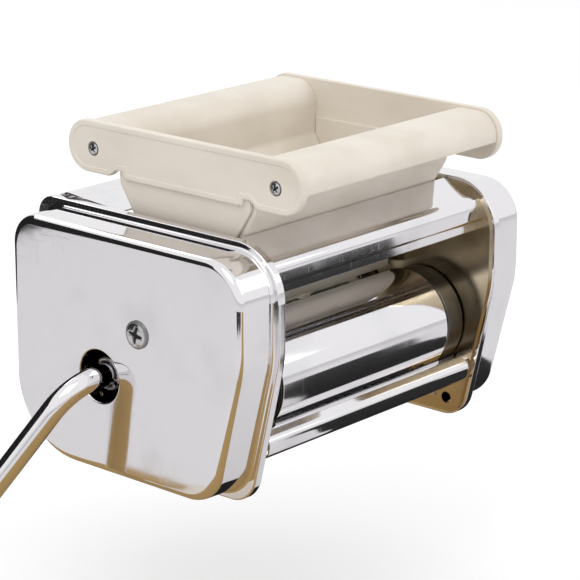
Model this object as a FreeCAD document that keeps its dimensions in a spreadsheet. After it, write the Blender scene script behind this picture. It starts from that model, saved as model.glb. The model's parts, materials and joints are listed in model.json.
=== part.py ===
import FreeCAD, Part
import math
import os
import re
import Sketcher

# Ravioli maker with crank: two side covers, a riveted sheet frame, two geared mould
# rollers, a lift-off filling hopper and a plug-in crank.
# X runs along the rollers with the crank at -X, -Y is the front and +Y the side that
# hangs on the host machine. The pieces are drawn about the nip line (Y 0 between the
# rollers, Z 0 at the bottom of the covers) and then placed from the hanging pins, whose
# midpoint is the origin.

sizes = {
    # side covers: a drawn cup with a rolled rim
    "bay_half": 76.5,        # half the clear width between the frame plates
    "plate": 1.5,            # frame plate thickness
    "cover_depth": 26.0,
    "cover_wall": 0.9,
    "rim_front": 68.3,
    "rim_rear": 88.0,
    "rim_top": 126.0,
    "rim_shoulder": 74.0,    # height where the front edge starts to lean in
    "rim_toe": 50.5,         # reach of the bottom edge to the front
    "rim_width": 4.5,
    "rim_step": 3.2,         # how far the rim stands out of the cup
    "face_draft": 0.7,       # further inset of the flat face
    "face_round": 3.6,
    "frame_inset": 2.2,      # frame plate edge inside the rim
    "crank_hole": 13.0,
    "hole_lip": 2.6,
    "cover_screw_height": 77.7,
    "cover_screw_head": 6.8,
    "cover_screw": 1.9,
    "cover_screw_rise": 1.8,
    "cover_screw_recess": 1.2,
    "cover_stud": 4.5,
    # rollers and drive
    "roller": 25.5,
    "axle_offset": 26.0,     # from the nip line to each roller axis
    "axle_height": 51.6,
    "axle": 5.0,
    "mould_half": 62.0,      # half the pocketed length
    "pocket_long": 34.0,
    "pocket_wide": 32.0,
    "pocket_depth": 5.5,
    "pocket_pitch": 39.5,
    "pocket_rows": 4,
    "hub_gap": 1.8,
    "hub_edge": 0.6,
    "end_play": 0.4,
    "bush_radius": 7.0,
    "bush_flange": 1.2,
    "clip": 1.0,
    "clip_groove": 0.8,
    "running_fit": 0.05,
    "gear_teeth": 26,
    "gear_width": 8.0,
    "gear_gap": 5.4,
    "socket_radius": 8.5,
    "socket_length": 18.0,
    "socket_mouth": 5.0,     # from the flat face in to the socket's mouth
    "pin_radius": 1.5,
    # roller guards
    "guard_half": 61.5,
    "guard_gap": 0.5,
    "guard_sheet": 0.6,
    "guard_top": 112.0,      # angle of the upper edge, from straight outwards
    "guard_bottom": 60.0,    # angle of the lower edge below straight outwards
    "hem_gap": 0.1,
    # tie rods
    "rod": 3.0,
    "rod_thread": 2.5,
    "rod_tail": 6.0,
    "nut_flats": 8.0,
    "nut_high": 4.0,
    "upper_rod_front": 46.0,
    "upper_rod_rear": 60.0,
    "upper_rod_height": 106.0,
    # folded plates over the rollers and the rails under them
    "sheet": 0.8,
    "ramp_root": 36.8,
    "ramp_root_height": 124.6,
    "ramp_front": 59.5,
    "ramp_rear": 81.5,
    "ramp_front_height": 119.2,
    "ramp_rear_height": 127.4,
    "lip_front_height": 101.5,
    "lip_rear_height": 108.5,
    "nose": 6.5,
    "rail_half": 75.0,
    "rail_root": 48.6,
    "rail_reach": 56.4,
    "rail_top": 34.6,
    "rail_bottom": 20.5,
    "rail_return": 49.5,
    "ear": 5.8,              # width and height of the riveted ears
    "rivet": 1.3,
    "scraper_half": 62.0,
    "scraper_sheet": 1.0,
    "scraper_tip": 7.6,
    "scraper_tip_height": 32.6,
    "scraper_foot": 34.0,
    "scraper_foot_height": 15.5,
    # hanging pins
    "hang_back": 78.0,
    "hang_height": 92.0,
    "hang_pin": 3.0,
    "hang_pin_length": 9.0,
    "rest_height": 30.0,
    "spare_hole": 3.0,
    "spare_hole_front": 41.0,
    "spare_hole_height": 9.5,
    # hopper
    "hopper_half": 74.0,
    "hopper_end": 4.0,
    "hopper_reach": 74.8,
    "hopper_border": 2.6,    # width of the raised border round an end plate
    "hopper_notch": 3.5,     # height of the notches beside the middle flange
    "hopper_top": 164.8,
    "hopper_foot": 139.4,
    "hopper_wall": 2.2,
    "funnel_side": 41.6,
    "funnel_shoulder": 137.0,
    "throat": 5.0,
    "throat_shoulder": 80.0,
    "throat_bottom": 74.0,
    "funnel_end": 71.8,
    "hopper_screw_out": 58.2,
    "hopper_screw_height": 151.1,
    "hopper_screw_head": 3.2,
    "hopper_screw": 1.8,
    "hopper_boss": 4.0,
    "boss_length": 14.0,
    # crank and grip
    "crank_rod": 5.6,
    "crank_out": 18.0,       # from the flat face to the first bend's corner
    "crank_bend": 24.0,
    "crank_rise": 58.5,      # how far the arm leans outwards along its length
    "crank_arm": 150.0,
    "crank_angle": 120.5,
    "grip_bend": 13.0,
    "grip_start": 17.0,
    "grip_length": 60.0,
    "grip_radius": 11.0,
    "spindle": 4.0,
    "grip_fit": 0.12,
}

# planes across the rollers that several pieces share, measured from the middle
plate_back = "(bay_half + plate)"
cover_face = f"({plate_back} + cover_depth)"
socket_face = f"({cover_face} - socket_mouth)"
socket_back = f"({socket_face} - socket_length)"
socket_stop = f"({socket_back} + 7)"
gear_end = f"({plate_back} + bush_flange + gear_gap + gear_width)"
grip_foot = f"({cover_face} + crank_out + crank_rise + grip_start)"

document = FreeCAD.newDocument("ravioli_maker")
sheet = document.addObject("Spreadsheet::Sheet", "Sizes")
for row, (word, number) in enumerate(sizes.items(), start=1):
    sheet.set(f"A{row}", word)
    sheet.set(f"B{row}", str(number))
    sheet.setAlias(f"B{row}", word)
document.recompute()

sub_parts = []


def value(formula):
    """The number that a formula of named sizes comes to."""
    return float(sheet.evalExpression(str(formula)))


def bound(formula):
    """The formula with each named size pointed at the sheet."""
    return re.sub(r"[a-z_]+", lambda word: "Sizes." + word.group(0)
                  if word.group(0) in sizes else word.group(0), str(formula))


def keep(item, label, across="0", up="0"):
    """Names a sub-part and places it from the hanging pins."""
    item.Label = label
    item.setExpression("Placement.Base.y", bound(f"({across}) - hang_back"))
    item.setExpression("Placement.Base.z", bound(f"({up}) - hang_height"))
    sub_parts.append(item)
    return item


def tie(sketch, kind, geometry, point, formula):
    """Holds one coordinate of a sketch point at a formula."""
    index = sketch.addConstraint(Sketcher.Constraint(kind, -1, 1, geometry, point, value(formula)))
    sketch.setExpression(f"Constraints[{index}]", bound(formula))


def tie_radius(sketch, geometry, formula):
    index = sketch.addConstraint(Sketcher.Constraint("Radius", geometry, value(formula)))
    sketch.setExpression(f"Constraints[{index}]", bound(formula))


def draw(sketch, corners, closed=True):
    """Straight runs through the corners, each rounded where it has a radius."""
    spots = [FreeCAD.Vector(value(corner[0]), value(corner[1]), 0) for corner in corners]
    radii = [corner[2] if len(corner) > 2 else None for corner in corners]
    count = len(corners)
    starts = list(spots)
    ends = list(spots)
    for i, radius in enumerate(radii):
        if radius is None:
            continue
        to_last = (spots[i - 1] - spots[i]).normalize()
        to_next = (spots[(i + 1) % count] - spots[i]).normalize()
        half = to_last.getAngle(to_next) / 2
        reach = value(radius) / math.tan(half)
        ends[i] = spots[i] + to_last * reach
        starts[i] = spots[i] + to_next * reach
    runs = []
    for i in range(count if closed else count - 1):
        run = Part.LineSegment(starts[i], ends[(i + 1) % count])
        runs.append(sketch.addGeometry(run))
    for i, corner in enumerate(corners):
        into = runs[i - 1] if closed or i > 0 else None
        out_of = runs[i] if closed or i < count - 1 else None
        if radii[i] is None:
            if into is not None and out_of is not None:
                sketch.addConstraint(Sketcher.Constraint("Coincident", into, 2, out_of, 1))
            end = (out_of, 1) if out_of is not None else (into, 2)
            tie(sketch, "DistanceX", end[0], end[1], corner[0])
            tie(sketch, "DistanceY", end[0], end[1], corner[1])
            continue
        bend = rounded(sketch, spots[i], ends[i], starts[i], value(radii[i]))
        arc, first, last = bend
        mark = sketch.addGeometry(Part.Point(spots[i]), True)
        tie(sketch, "DistanceX", mark, 1, corner[0])
        tie(sketch, "DistanceY", mark, 1, corner[1])
        sketch.addConstraint(Sketcher.Constraint("PointOnObject", mark, 1, into))
        sketch.addConstraint(Sketcher.Constraint("PointOnObject", mark, 1, out_of))
        sketch.addConstraint(Sketcher.Constraint("Tangent", into, 2, arc, first))
        sketch.addConstraint(Sketcher.Constraint("Tangent", arc, last, out_of, 1))
        tie_radius(sketch, arc, radii[i])


def rounded(sketch, corner, begin, finish, radius):
    """The arc in a corner, and which of its ends comes first along the outline."""
    middle = (begin + finish) / 2 - corner
    half_chord = (begin - finish).Length / 2
    depth = math.sqrt(max(radius ** 2 - half_chord ** 2, 0))
    centre = (begin + finish) / 2 + middle.normalize() * depth
    circle = Part.Circle(centre, FreeCAD.Vector(0, 0, 1), radius)
    angle_in = math.atan2(begin.y - centre.y, begin.x - centre.x)
    angle_out = math.atan2(finish.y - centre.y, finish.x - centre.x)
    turn = (angle_out - angle_in) % (2 * math.pi)
    if turn < math.pi:
        arc = sketch.addGeometry(Part.ArcOfCircle(circle, angle_in, angle_in + turn))
        return arc, 1, 2
    turn = 2 * math.pi - turn
    arc = sketch.addGeometry(Part.ArcOfCircle(circle, angle_out, angle_out + turn))
    return arc, 2, 1


def draw_circle(sketch, across, up, radius):
    centre = FreeCAD.Vector(value(across), value(up), 0)
    circle = sketch.addGeometry(Part.Circle(centre, FreeCAD.Vector(0, 0, 1), value(radius)))
    tie(sketch, "DistanceX", circle, 3, across)
    tie(sketch, "DistanceY", circle, 3, up)
    tie_radius(sketch, circle, radius)


def plane_of(body, role):
    for feature in body.Origin.OriginFeatures:
        if feature.Role == role:
            return feature
    raise ValueError(role)


def sketch_on(body, role, shift="0"):
    """A sketch on one of the body's own planes, shifted along its normal."""
    sketch = body.newObject("Sketcher::SketchObject", "Sketch")
    sketch.AttachmentSupport = (plane_of(body, role), "")
    sketch.MapMode = "FlatFace"
    sketch.AttachmentOffset = FreeCAD.Placement(FreeCAD.Vector(0, 0, value(shift)), FreeCAD.Rotation())
    sketch.setExpression("AttachmentOffset.Base.z", bound(shift))
    return sketch


def side_sketch(body, shift="0"):
    """A sketch across the rollers: its first axis is Y and its second is Z."""
    return sketch_on(body, "YZ_Plane", shift)


def pad(body, sketch, length, kind="PartDesign::Pad"):
    feature = body.newObject(kind, "Pad")
    feature.Profile = sketch
    feature.setExpression("Length", bound(length))
    if kind == "PartDesign::Pocket":
        feature.Reversed = True
    return feature


def cut(body, sketch, length):
    """Cuts along the sketch's normal, and stops if nothing was cut."""
    document.recompute()
    before = body.Shape.Volume
    feature = pad(body, sketch, length, "PartDesign::Pocket")
    document.recompute()
    if body.Shape.Volume > before - 1e-6:
        raise ValueError(body.Name + ": a cut removes nothing")
    return feature


def new_body(name):
    return document.addObject("PartDesign::Body", name)


def edges_where(shape, test):
    return [f"Edge{i}" for i, edge in enumerate(shape.Edges, start=1) if test(edge)]


def fillet(body, edges, radius):
    base = body.Tip
    feature = body.newObject("PartDesign::Fillet", "Fillet")
    feature.Base = (base, edges)
    feature.setExpression("Radius", bound(radius))
    return feature


def turned(name, corners):
    """A body turned about X from a half outline of (along, radius) corners."""
    body = new_body(name)
    sketch = sketch_on(body, "XY_Plane")
    draw(sketch, corners)
    feature = body.newObject("PartDesign::Revolution", "Revolution")
    feature.Profile = sketch
    feature.ReferenceAxis = (sketch, ["H_Axis"])
    feature.Angle = 360
    return body


def sleeve(name, start, end, inner, outer):
    return turned(name, [(start, inner), (end, inner), (end, outer), (start, outer)])


def place(item, across="0", up="0"):
    item.setExpression("Placement.Base.y", bound(across))
    item.setExpression("Placement.Base.z", bound(up))
    return item


def group(label, items):
    compound = document.addObject("Part::Compound", label)
    compound.Links = items
    return keep(compound, label)


def bent_sheet(name, corners, half, thickness, inward=False):
    """A sheet folded along an open outline and cut to length along X."""
    sketch = document.addObject("Sketcher::SketchObject", name + "_line")
    sketch.Placement = FreeCAD.Placement(FreeCAD.Vector(value(half) * -1, 0, 0),
                                         FreeCAD.Rotation(FreeCAD.Vector(1, 1, 1), 120))
    sketch.setExpression("Placement.Base.x", bound(f"-({half})"))
    draw(sketch, corners, closed=False)
    skin = document.addObject("Part::Offset2D", name + "_skin")
    skin.Source = sketch
    skin.Fill = True
    skin.Mode = "Skin"
    skin.setExpression("Value", bound(thickness if not inward else f"-({thickness})"))
    strip = document.addObject("Part::Extrusion", name + "_strip")
    strip.Base = skin
    strip.DirMode = "Custom"
    strip.Dir = FreeCAD.Vector(1, 0, 0)
    strip.Solid = True
    strip.setExpression("LengthFwd", bound(f"2 * ({half})"))
    return strip


def box(name, low, high):
    """A block between two corners given as formulas."""
    block = document.addObject("Part::Box", name)
    for key, start, end in zip(("Length", "Width", "Height"), low, high):
        block.setExpression(key, bound(f"({end}) - ({start})"))
    for key, start in zip("xyz", low):
        block.setExpression("Placement.Base." + key, bound(start))
    return block


def slab(name, corners, start, thickness):
    """A flat piece of the given side outline, from a plane on along X."""
    sketch = document.addObject("Sketcher::SketchObject", name + "_line")
    sketch.Placement = FreeCAD.Placement(FreeCAD.Vector(value(start), 0, 0),
                                         FreeCAD.Rotation(FreeCAD.Vector(1, 1, 1), 120))
    sketch.setExpression("Placement.Base.x", bound(start))
    draw(sketch, corners)
    piece = document.addObject("Part::Extrusion", name)
    piece.Base = sketch
    piece.DirMode = "Custom"
    piece.Dir = FreeCAD.Vector(1, 0, 0)
    piece.Solid = True
    piece.setExpression("LengthFwd", bound(thickness))
    return piece


def x_cylinder(name, start, end, across, up, radius):
    """A round bar along X between two planes."""
    bar = document.addObject("Part::Cylinder", name)
    bar.Placement = FreeCAD.Placement(FreeCAD.Vector(0, 0, 0),
                                      FreeCAD.Rotation(FreeCAD.Vector(0, 1, 0), 90))
    bar.setExpression("Radius", bound(radius))
    bar.setExpression("Height", bound(f"({end}) - ({start})"))
    for key, formula in zip("xyz", (start, across, up)):
        bar.setExpression("Placement.Base." + key, bound(formula))
    return bar


def fuse(name, items):
    joined = document.addObject("Part::MultiFuse", name)
    joined.Shapes = items
    joined.Refine = True
    return joined


def minus(name, base, tool):
    trimmed = document.addObject("Part::Cut", name)
    trimmed.Base = base
    trimmed.Tool = tool
    return trimmed


def rim_outline(inset, radii):
    """The side outline, moved in by an inset, with its five corner radii."""
    return [
        (f"-rim_front + {inset}", f"rim_top - ({inset})", radii[0]),
        (f"rim_rear - ({inset})", f"rim_top - ({inset})", radii[1]),
        (f"rim_rear - ({inset})", inset, radii[2]),
        (f"-rim_toe + {inset}", inset, radii[3]),
        (f"-rim_front + {inset}", "rim_shoulder", radii[4]),
    ]


def side_cover(name, side):
    """A drawn cup with a rolled rim, open towards the frame plate."""
    body = new_body(name)
    rim = side_sketch(body, f"{side} * {plate_back}")
    draw(rim, rim_outline("0", ("25", "10", "40", "16", "60")))
    rim_pad = pad(body, rim, "rim_width")
    rim_pad.Reversed = side < 0
    outer = side_sketch(body, f"{side} * {plate_back}")
    draw(outer, rim_outline("rim_step", ("21", "16", "39", "22", "60")))
    drawn_out(body, outer, "cover_depth", "PartDesign::Pad", side)
    fillet_plane(body, side, f"{plate_back} + rim_width", "1.4")
    inner = side_sketch(body, f"{side} * ({plate_back} - 0.01)")
    draw(inner, rim_outline("rim_step + cover_wall", ("20", "15", "38", "21", "59")))
    drawn_out(body, inner, "cover_depth - cover_wall + 0.01", "PartDesign::Pocket", side)
    fillet_plane(body, side, f"{cover_face} - cover_wall", "face_round - cover_wall")
    fillet_plane(body, side, cover_face, "face_round")
    screw = side_sketch(body, f"{side} * {cover_face}")
    draw_circle(screw, "0", "cover_screw_height", "2.4")
    cut_back(body, screw, "4", side)
    if side < 0:
        lip = side_sketch(body, f"-({cover_face} - cover_wall + 0.01)")
        draw_circle(lip, "axle_offset", "axle_height", "crank_hole + cover_wall")
        pad(body, lip, "hole_lip")
        hole = side_sketch(body, f"-{cover_face}")
        draw_circle(hole, "axle_offset", "axle_height", "crank_hole")
        cut_back(body, hole, "cover_wall + hole_lip + 1", side)
        fillet_plane(body, side, cover_face, "0.8 * cover_wall", "crank_hole")
    return keep(body, name)


def fillet_plane(body, side, along, radius, hole=None):
    """Rounds the edges lying in a plane across X: all of them, or one hole's."""
    document.recompute()
    plane_at = side * value(along)

    def picked(edge):
        if not all(abs(v.X - plane_at) < 1e-4 for v in edge.Vertexes):
            return False
        if hole is None:
            return True
        if edge.Curve.TypeId != "Part::GeomCircle":
            return False
        return abs(edge.Curve.Radius - value(hole)) < 1e-4

    fillet(body, edges_where(body.Shape, picked), radius)


def cut_back(body, sketch, length, side):
    """Cuts from an outer face back towards the middle of the machine."""
    document.recompute()
    before = body.Shape.Volume
    feature = body.newObject("PartDesign::Pocket", "Pocket")
    feature.Profile = sketch
    feature.setExpression("Length", bound(length))
    feature.Reversed = side < 0
    document.recompute()
    if body.Shape.Volume > before - 1e-6:
        raise ValueError(body.Name + ": a cut removes nothing")
    return feature


def drawn_out(body, sketch, length, kind, side):
    """A pad or a pocket from the frame plate outwards, with the cup's draft."""
    feature = body.newObject(kind, "Drawn")
    feature.Profile = sketch
    feature.setExpression("Length", bound(length))
    feature.setExpression("TaperAngle", bound("-atan(face_draft / cover_depth)"))
    feature.Reversed = (side < 0) == (kind == "PartDesign::Pad")
    return feature


def rivet_spots():
    """Where each ear is riveted to a frame plate: front pieces, then rear ones."""
    spots = []
    for sign, end in (("-", "front"), ("", "rear")):
        ramp = f"min(ramp_root_height; ramp_{end}_height + 1.6)"
        spots.append((f"{sign}(ramp_root + 1 + ear / 2)", f"{ramp} - 1 - ear / 2"))
        spots.append((f"{sign}(rail_root + 0.4 + ear / 2)", "rail_top - 1.4 - ear / 2"))
        spots.append((f"{sign}(scraper_foot - ear / 2)", "scraper_foot_height - 0.6 - ear / 2"))
    return spots


def frame_plate(name, side):
    """The flat inner plate that carries bushes, rods, plates, rails and hopper."""
    body = new_body(name)
    inner = side_sketch(body, f"{side} * bay_half")
    draw(inner, rim_outline("frame_inset", (23, 10, 38, 8, 60)))
    plate = pad(body, inner, "plate")
    plate.Reversed = side < 0
    holes = side_sketch(body, f"{side} * {plate_back}")
    for sign in ("-", ""):
        draw_circle(holes, f"{sign}axle_offset", "axle_height", "bush_radius")
    for across, up in rod_spots().values():
        draw_circle(holes, across, up, "rod_thread")
    for across, up in rivet_spots():
        draw_circle(holes, across, up, "rivet")
    draw_circle(holes, "0", "cover_screw_height", "2.5")
    draw_circle(holes, "hang_back", "hang_height", "2.2")
    draw_circle(holes, "hang_back - 6", "rest_height", "2.2")
    draw_circle(holes, "-spare_hole_front", "spare_hole_height", "spare_hole")
    cut_back(body, holes, "plate + 1", side)
    return keep(body, name)


def rod_spots():
    """The four tie rods: two inside the guards' hems, two under the top plates."""
    reach = "(roller + guard_gap + rod + hem_gap + guard_sheet)"
    out = f"(axle_offset + {reach} * cos(guard_bottom * 1deg))"
    low = f"(axle_height - {reach} * sin(guard_bottom * 1deg))"
    return {
        "front_lower": (f"-{out}", low),
        "rear_lower": (out, low),
        "front_upper": ("-upper_rod_front", "upper_rod_height"),
        "rear_upper": ("upper_rod_rear", "upper_rod_height"),
    }


def tie_rods():
    """Four shouldered rods with threaded tails that hold the frame plates apart."""
    rods = []
    nuts = []
    tail = f"({plate_back} + rod_tail)"
    for corner, (across, up) in rod_spots().items():
        outline = [(f"-{tail}", "0"), (tail, "0"), (tail, "rod_thread"), ("bay_half", "rod_thread"),
                   ("bay_half", "rod"), ("-bay_half", "rod"), ("-bay_half", "rod_thread"),
                   (f"-{tail}", "rod_thread")]
        rods.append(place(turned(f"rod_{corner}", outline), across, up))
        for side in (-1, 1):
            nuts.append(place(hex_nut(f"nut_{len(nuts)}", side), across, up))
    group("tie_rods", rods)
    group("tie_rod_nuts", nuts)


def hex_nut(name, side):
    body = new_body(name)
    start = plate_back if side > 0 else f"-({plate_back} + nut_high)"
    blank = side_sketch(body, start)
    corner = "nut_flats / sqrt(3)"
    corners = []
    for i in range(6):
        corners.append((f"{corner} * cos({60 * i}deg)", f"{corner} * sin({60 * i}deg)"))
    draw(blank, corners)
    draw_circle(blank, "0", "0", "rod_thread")
    pad(body, blank, "nut_high")
    return body


def mould_roller(name, sign):
    """A roller with rows of square pockets whose ridges seal and cut the dough."""
    body = new_body(name)
    blank = side_sketch(body, "-mould_half")
    draw_circle(blank, "0", "0", "roller")
    draw_circle(blank, "0", "0", "axle")
    pad(body, blank, "2 * mould_half")
    row = sketch_on(body, "XY_Plane", "roller - pocket_depth")
    for column in (-1, 0, 1):
        middle = f"{column} * pocket_pitch"
        half = "pocket_long / 2"
        wide = "pocket_wide / 2"
        draw(row, [(f"{middle} - {half}", f"-{wide}", "4"), (f"{middle} + {half}", f"-{wide}", "4"),
                   (f"{middle} + {half}", wide, "4"), (f"{middle} - {half}", wide, "4")])
    pocket = cut(body, row, "pocket_depth + 1")
    ring = body.newObject("PartDesign::PolarPattern", "Rows")
    ring.Originals = [pocket]
    ring.Axis = (plane_of(body, "X_Axis"), [""])
    ring.Angle = 360
    ring.setExpression("Occurrences", bound("pocket_rows"))
    body.Tip = ring
    return keep(body, name, f"{sign}axle_offset", "axle_height")


def roller_hubs(name, sign):
    """The plain hub at each end of a roller, beyond the mould."""
    hubs = []
    for side in (-1, 1):
        inner = f"{side} * (mould_half + hub_gap)"
        outer = f"{side} * (bay_half - end_play - 0.5)"
        low, high = sorted((inner, outer), key=value)
        outline = [(low, "axle"), (high, "axle"), (high, "roller - hub_edge"),
                   (f"{high} - hub_edge", "roller"), (f"{low} + hub_edge", "roller"),
                   (low, "roller - hub_edge")]
        hubs.append(place(turned(f"{name}_{side}", outline), f"{sign}axle_offset", "axle_height"))
    group(name, hubs)


def spacer_collars(name, sign):
    """Thin collars on the axle that keep the hubs off the mould."""
    collars = []
    for side in (-1, 1):
        low, high = sorted((f"{side} * mould_half", f"{side} * (mould_half + hub_gap)"), key=value)
        collar = sleeve(f"{name}_{side}", low, high, "axle", "roller - 3")
        collars.append(place(collar, f"{sign}axle_offset", "axle_height"))
    group(name, collars)


def clip_spans():
    """From where to where the right and left clips' grooves run along an axle."""
    right = f"{gear_end} + 2.4"
    left = f"-({plate_back} + bush_flange + end_play + 1)"
    return (f"{right} - clip", right), (f"{left} - clip", left)


def roller_axle(name, sign):
    """A straight axle with a groove for each clip; the driven one ends in the socket."""
    groove = "axle - clip_groove"
    left = f"-{socket_stop}"
    right_clip, left_clip = clip_spans()
    outline = [("0", "0"), (f"{gear_end} + 4", "0"), (f"{gear_end} + 4", "axle"),
               (right_clip[1], "axle"), (right_clip[1], groove),
               (right_clip[0], groove), (right_clip[0], "axle")]
    if sign == "-":
        left = f"-({plate_back} + bush_flange + end_play + 6)"
        outline += [(left_clip[1], "axle"), (left_clip[1], groove),
                    (left_clip[0], groove), (left_clip[0], "axle")]
    outline += [(left, "axle"), (left, "0")]
    return keep(turned(name, outline), name, f"{sign}axle_offset", "axle_height")


def axle_clips():
    """Split rings in the axles' grooves."""
    right, left = clip_spans()
    for label, sign, spans in (("rear_axle_clip", "", [right]), ("front_axle_clips", "-", [right, left])):
        rings = []
        for start, end in spans:
            body = new_body(f"clip_{len(rings)}")
            blank = side_sketch(body, f"{start} + 0.02")
            draw_circle(blank, "0", "0", "axle + 2.4")
            draw_circle(blank, "0", "0", "axle - clip_groove")
            pad(body, blank, "clip - 0.04")
            gap = side_sketch(body, f"{start} - 1")
            draw(gap, [("-2.6", "2"), ("2.6", "2"), ("2.6", "12"), ("-2.6", "12")])
            cut(body, gap, f"{end} - ({start}) + 3")
            rings.append(place(body, f"{sign}axle_offset", "axle_height"))
        group(label, rings)


def bushes():
    """Four flanged bushes, pressed into the frame plates from outside."""
    items = []
    bore = "axle + running_fit"
    for side in (-1, 1):
        for sign in ("-", ""):
            inner = f"{side} * (bay_half - 0.1)"
            step = f"{side} * {plate_back}"
            outer = f"{side} * ({plate_back} + bush_flange)"
            outline = [(inner, bore), (outer, bore), (outer, "bush_radius + 2"),
                       (step, "bush_radius + 2"), (step, "bush_radius"), (inner, "bush_radius")]
            bush = turned(f"bush_{side}{sign}", outline)
            items.append(place(bush, f"{sign}axle_offset", "axle_height"))
    group("axle_bushes", items)


def gear(name, sign, turn_teeth):
    """A straight-toothed gear: its pitch circle touches the nip line."""
    teeth = round(value("gear_teeth"))
    pitch = value("axle_offset")
    module = 2 * pitch / teeth
    tip = pitch + 0.82 * module
    root = pitch - 1.2 * module
    step = 2 * math.pi / teeth
    flank = ((root, 0.330), (pitch, 0.225), (tip, 0.095))
    wide = value("gear_width")
    start = value(gear_end) - wide
    sunk = 1.5
    points = []
    for tooth in range(teeth):
        middle = (tooth + turn_teeth) * step
        rising = [(radius, -share) for radius, share in flank]
        falling = [(radius, share) for radius, share in flank[::-1]]
        for radius, share in rising + falling:
            angle = middle + share * step
            points.append(FreeCAD.Vector(start, radius * math.cos(angle), radius * math.sin(angle)))
    along = FreeCAD.Vector(1, 0, 0)
    blank = Part.Face(Part.makePolygon(points + points[:1])).extrude(along * wide)
    bore = Part.makeCylinder(value("axle"), wide + 2, along * (start - 1), along)
    recess = Part.makeCylinder(root - 4, sunk, along * (start + wide - sunk), along)
    boss = Part.makeCylinder(10, sunk, along * (start + wide - sunk), along)
    item = document.addObject("Part::Feature", name)
    item.Shape = blank.cut(recess.cut(boss)).cut(bore)
    return keep(item, name, f"{sign}axle_offset", "axle_height")


def crank_socket():
    """The slotted sleeve on the driven axle that takes the crank's end."""
    bore = "crank_rod + running_fit"
    outline = [(f"-{socket_face}", bore), (f"-{socket_stop}", bore), (f"-{socket_stop}", "axle"),
               (f"-{socket_back}", "axle"), (f"-{socket_back}", "socket_radius"),
               (f"-({socket_face} - 1)", "socket_radius"), (f"-{socket_face}", "socket_radius - 1")]
    body = turned("crank_socket", outline)
    slot = side_sketch(body, f"-{socket_face} - 1")
    wide = "pin_radius + 0.2"
    turn = "(crank_angle + 90) * 1deg"
    corners = []
    for far, near in ((-12, -1), (12, -1), (12, 1), (-12, 1)):
        corners.append((f"{far} * cos({turn}) - {near} * ({wide}) * sin({turn})",
                        f"{far} * sin({turn}) + {near} * ({wide}) * cos({turn})"))
    draw(slot, corners)
    cut(body, slot, "1 + 6")
    return keep(body, "crank_socket", "axle_offset", "axle_height")


def socket_pin():
    """A cross pin that keys the socket to its axle."""
    pin = document.addObject("Part::Cylinder", "socket_pin")
    pin.setExpression("Radius", bound("pin_radius"))
    pin.setExpression("Height", bound("2 * socket_radius - 0.4"))
    pin.setExpression("Placement.Base.x", bound(f"-({socket_back} + 3.5)"))
    return keep(pin, "socket_pin", "axle_offset", "axle_height - socket_radius + 0.2")


def drill_socket(target):
    """Takes the cross pin's hole out of a piece that it passes through."""
    drill = document.addObject("Part::Cylinder", target.Label + "_drill")
    drill.setExpression("Radius", bound("pin_radius"))
    drill.setExpression("Height", bound("4 * socket_radius"))
    drill.setExpression("Placement.Base.x", bound(f"-({socket_back} + 3.5)"))
    drill.setExpression("Placement.Base.z", bound("-2 * socket_radius"))
    label = target.Label
    sub_parts.remove(target)
    target.Label = label + "_blank"
    for key in ("y", "z"):
        target.setExpression("Placement.Base." + key, None)
    target.Placement = FreeCAD.Placement()
    return keep(minus(label, target, drill), label, "axle_offset", "axle_height")


def guard(name, sign):
    """A curved sheet over a roller, hemmed round its tie rod at the bottom."""
    out = -1 if sign == "-" else 1
    half = value("guard_half")
    sheet_thick = value("guard_sheet")
    low_angle = value("guard_bottom")
    radius = value("roller + guard_gap")
    hem = value("rod + hem_gap") + sheet_thick
    low = math.radians(low_angle)
    rod_across = (radius + hem) * math.cos(low)
    rod_up = -(radius + hem) * math.sin(low)

    def arc(across, up, reach, first, last):
        """An arc in the side plane, its angles measured from straight outwards."""
        spots = []
        for degrees in (first, (first + last) / 2, last):
            angle = math.radians(degrees)
            spots.append(FreeCAD.Vector(-half, out * (across + reach * math.cos(angle)),
                                        up + reach * math.sin(angle)))
        return Part.Arc(*spots).toShape()

    wrap = 180 - low_angle
    top = value("guard_top")
    edges = [
        arc(0, 0, radius, top, -low_angle),
        arc(rod_across, rod_up, hem, wrap, wrap + 230),
        None,
        arc(rod_across, rod_up, hem - sheet_thick, wrap + 230, wrap),
        arc(0, 0, radius + sheet_thick, -low_angle, top),
        None,
    ]
    ends = [(edges[1], edges[3]), (edges[4], edges[0])]
    for slot, (before, after) in zip((2, 5), ends):
        edges[slot] = Part.makeLine(before.Vertexes[-1].Point, after.Vertexes[0].Point)
    face = Part.Face(Part.Wire(edges))
    item = document.addObject("Part::Feature", name)
    item.Shape = face.extrude(FreeCAD.Vector(2 * half, 0, 0))
    return keep(item, name, f"{sign}axle_offset", "axle_height")


def with_ears(name, strip, across, up, roof):
    """Adds a riveted ear at each end of a folded sheet, cut to the sheet's own slope.

    The roof gives the sheet's middle line at the ear's inner and outer edges.
    """
    pieces = [strip]
    drills = []
    sign = "-" if across.startswith("-") else ""
    inner = f"{across} - ({sign}ear / 2)"
    outer = f"{across} + ({sign}ear / 2)"
    for side in (-1, 1):
        ends = sorted((f"{side} * (bay_half - sheet)", f"{side} * bay_half"), key=value)
        floor = f"{up} - ear / 2"
        corners = [(inner, floor), (outer, floor), (outer, roof[1]), (inner, roof[0])]
        pieces.append(slab(f"{name}_ear_{side}", corners, ends[0], "sheet"))
        span = (f"{ends[0]} - 1", f"{ends[1]} + 1")
        drills.append(x_cylinder(f"{name}_drill_{side}", *span, across, up, "rivet"))
    solid = fuse(name + "_folded", pieces)
    return minus(name, solid, fuse(name + "_drills", drills))


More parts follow.
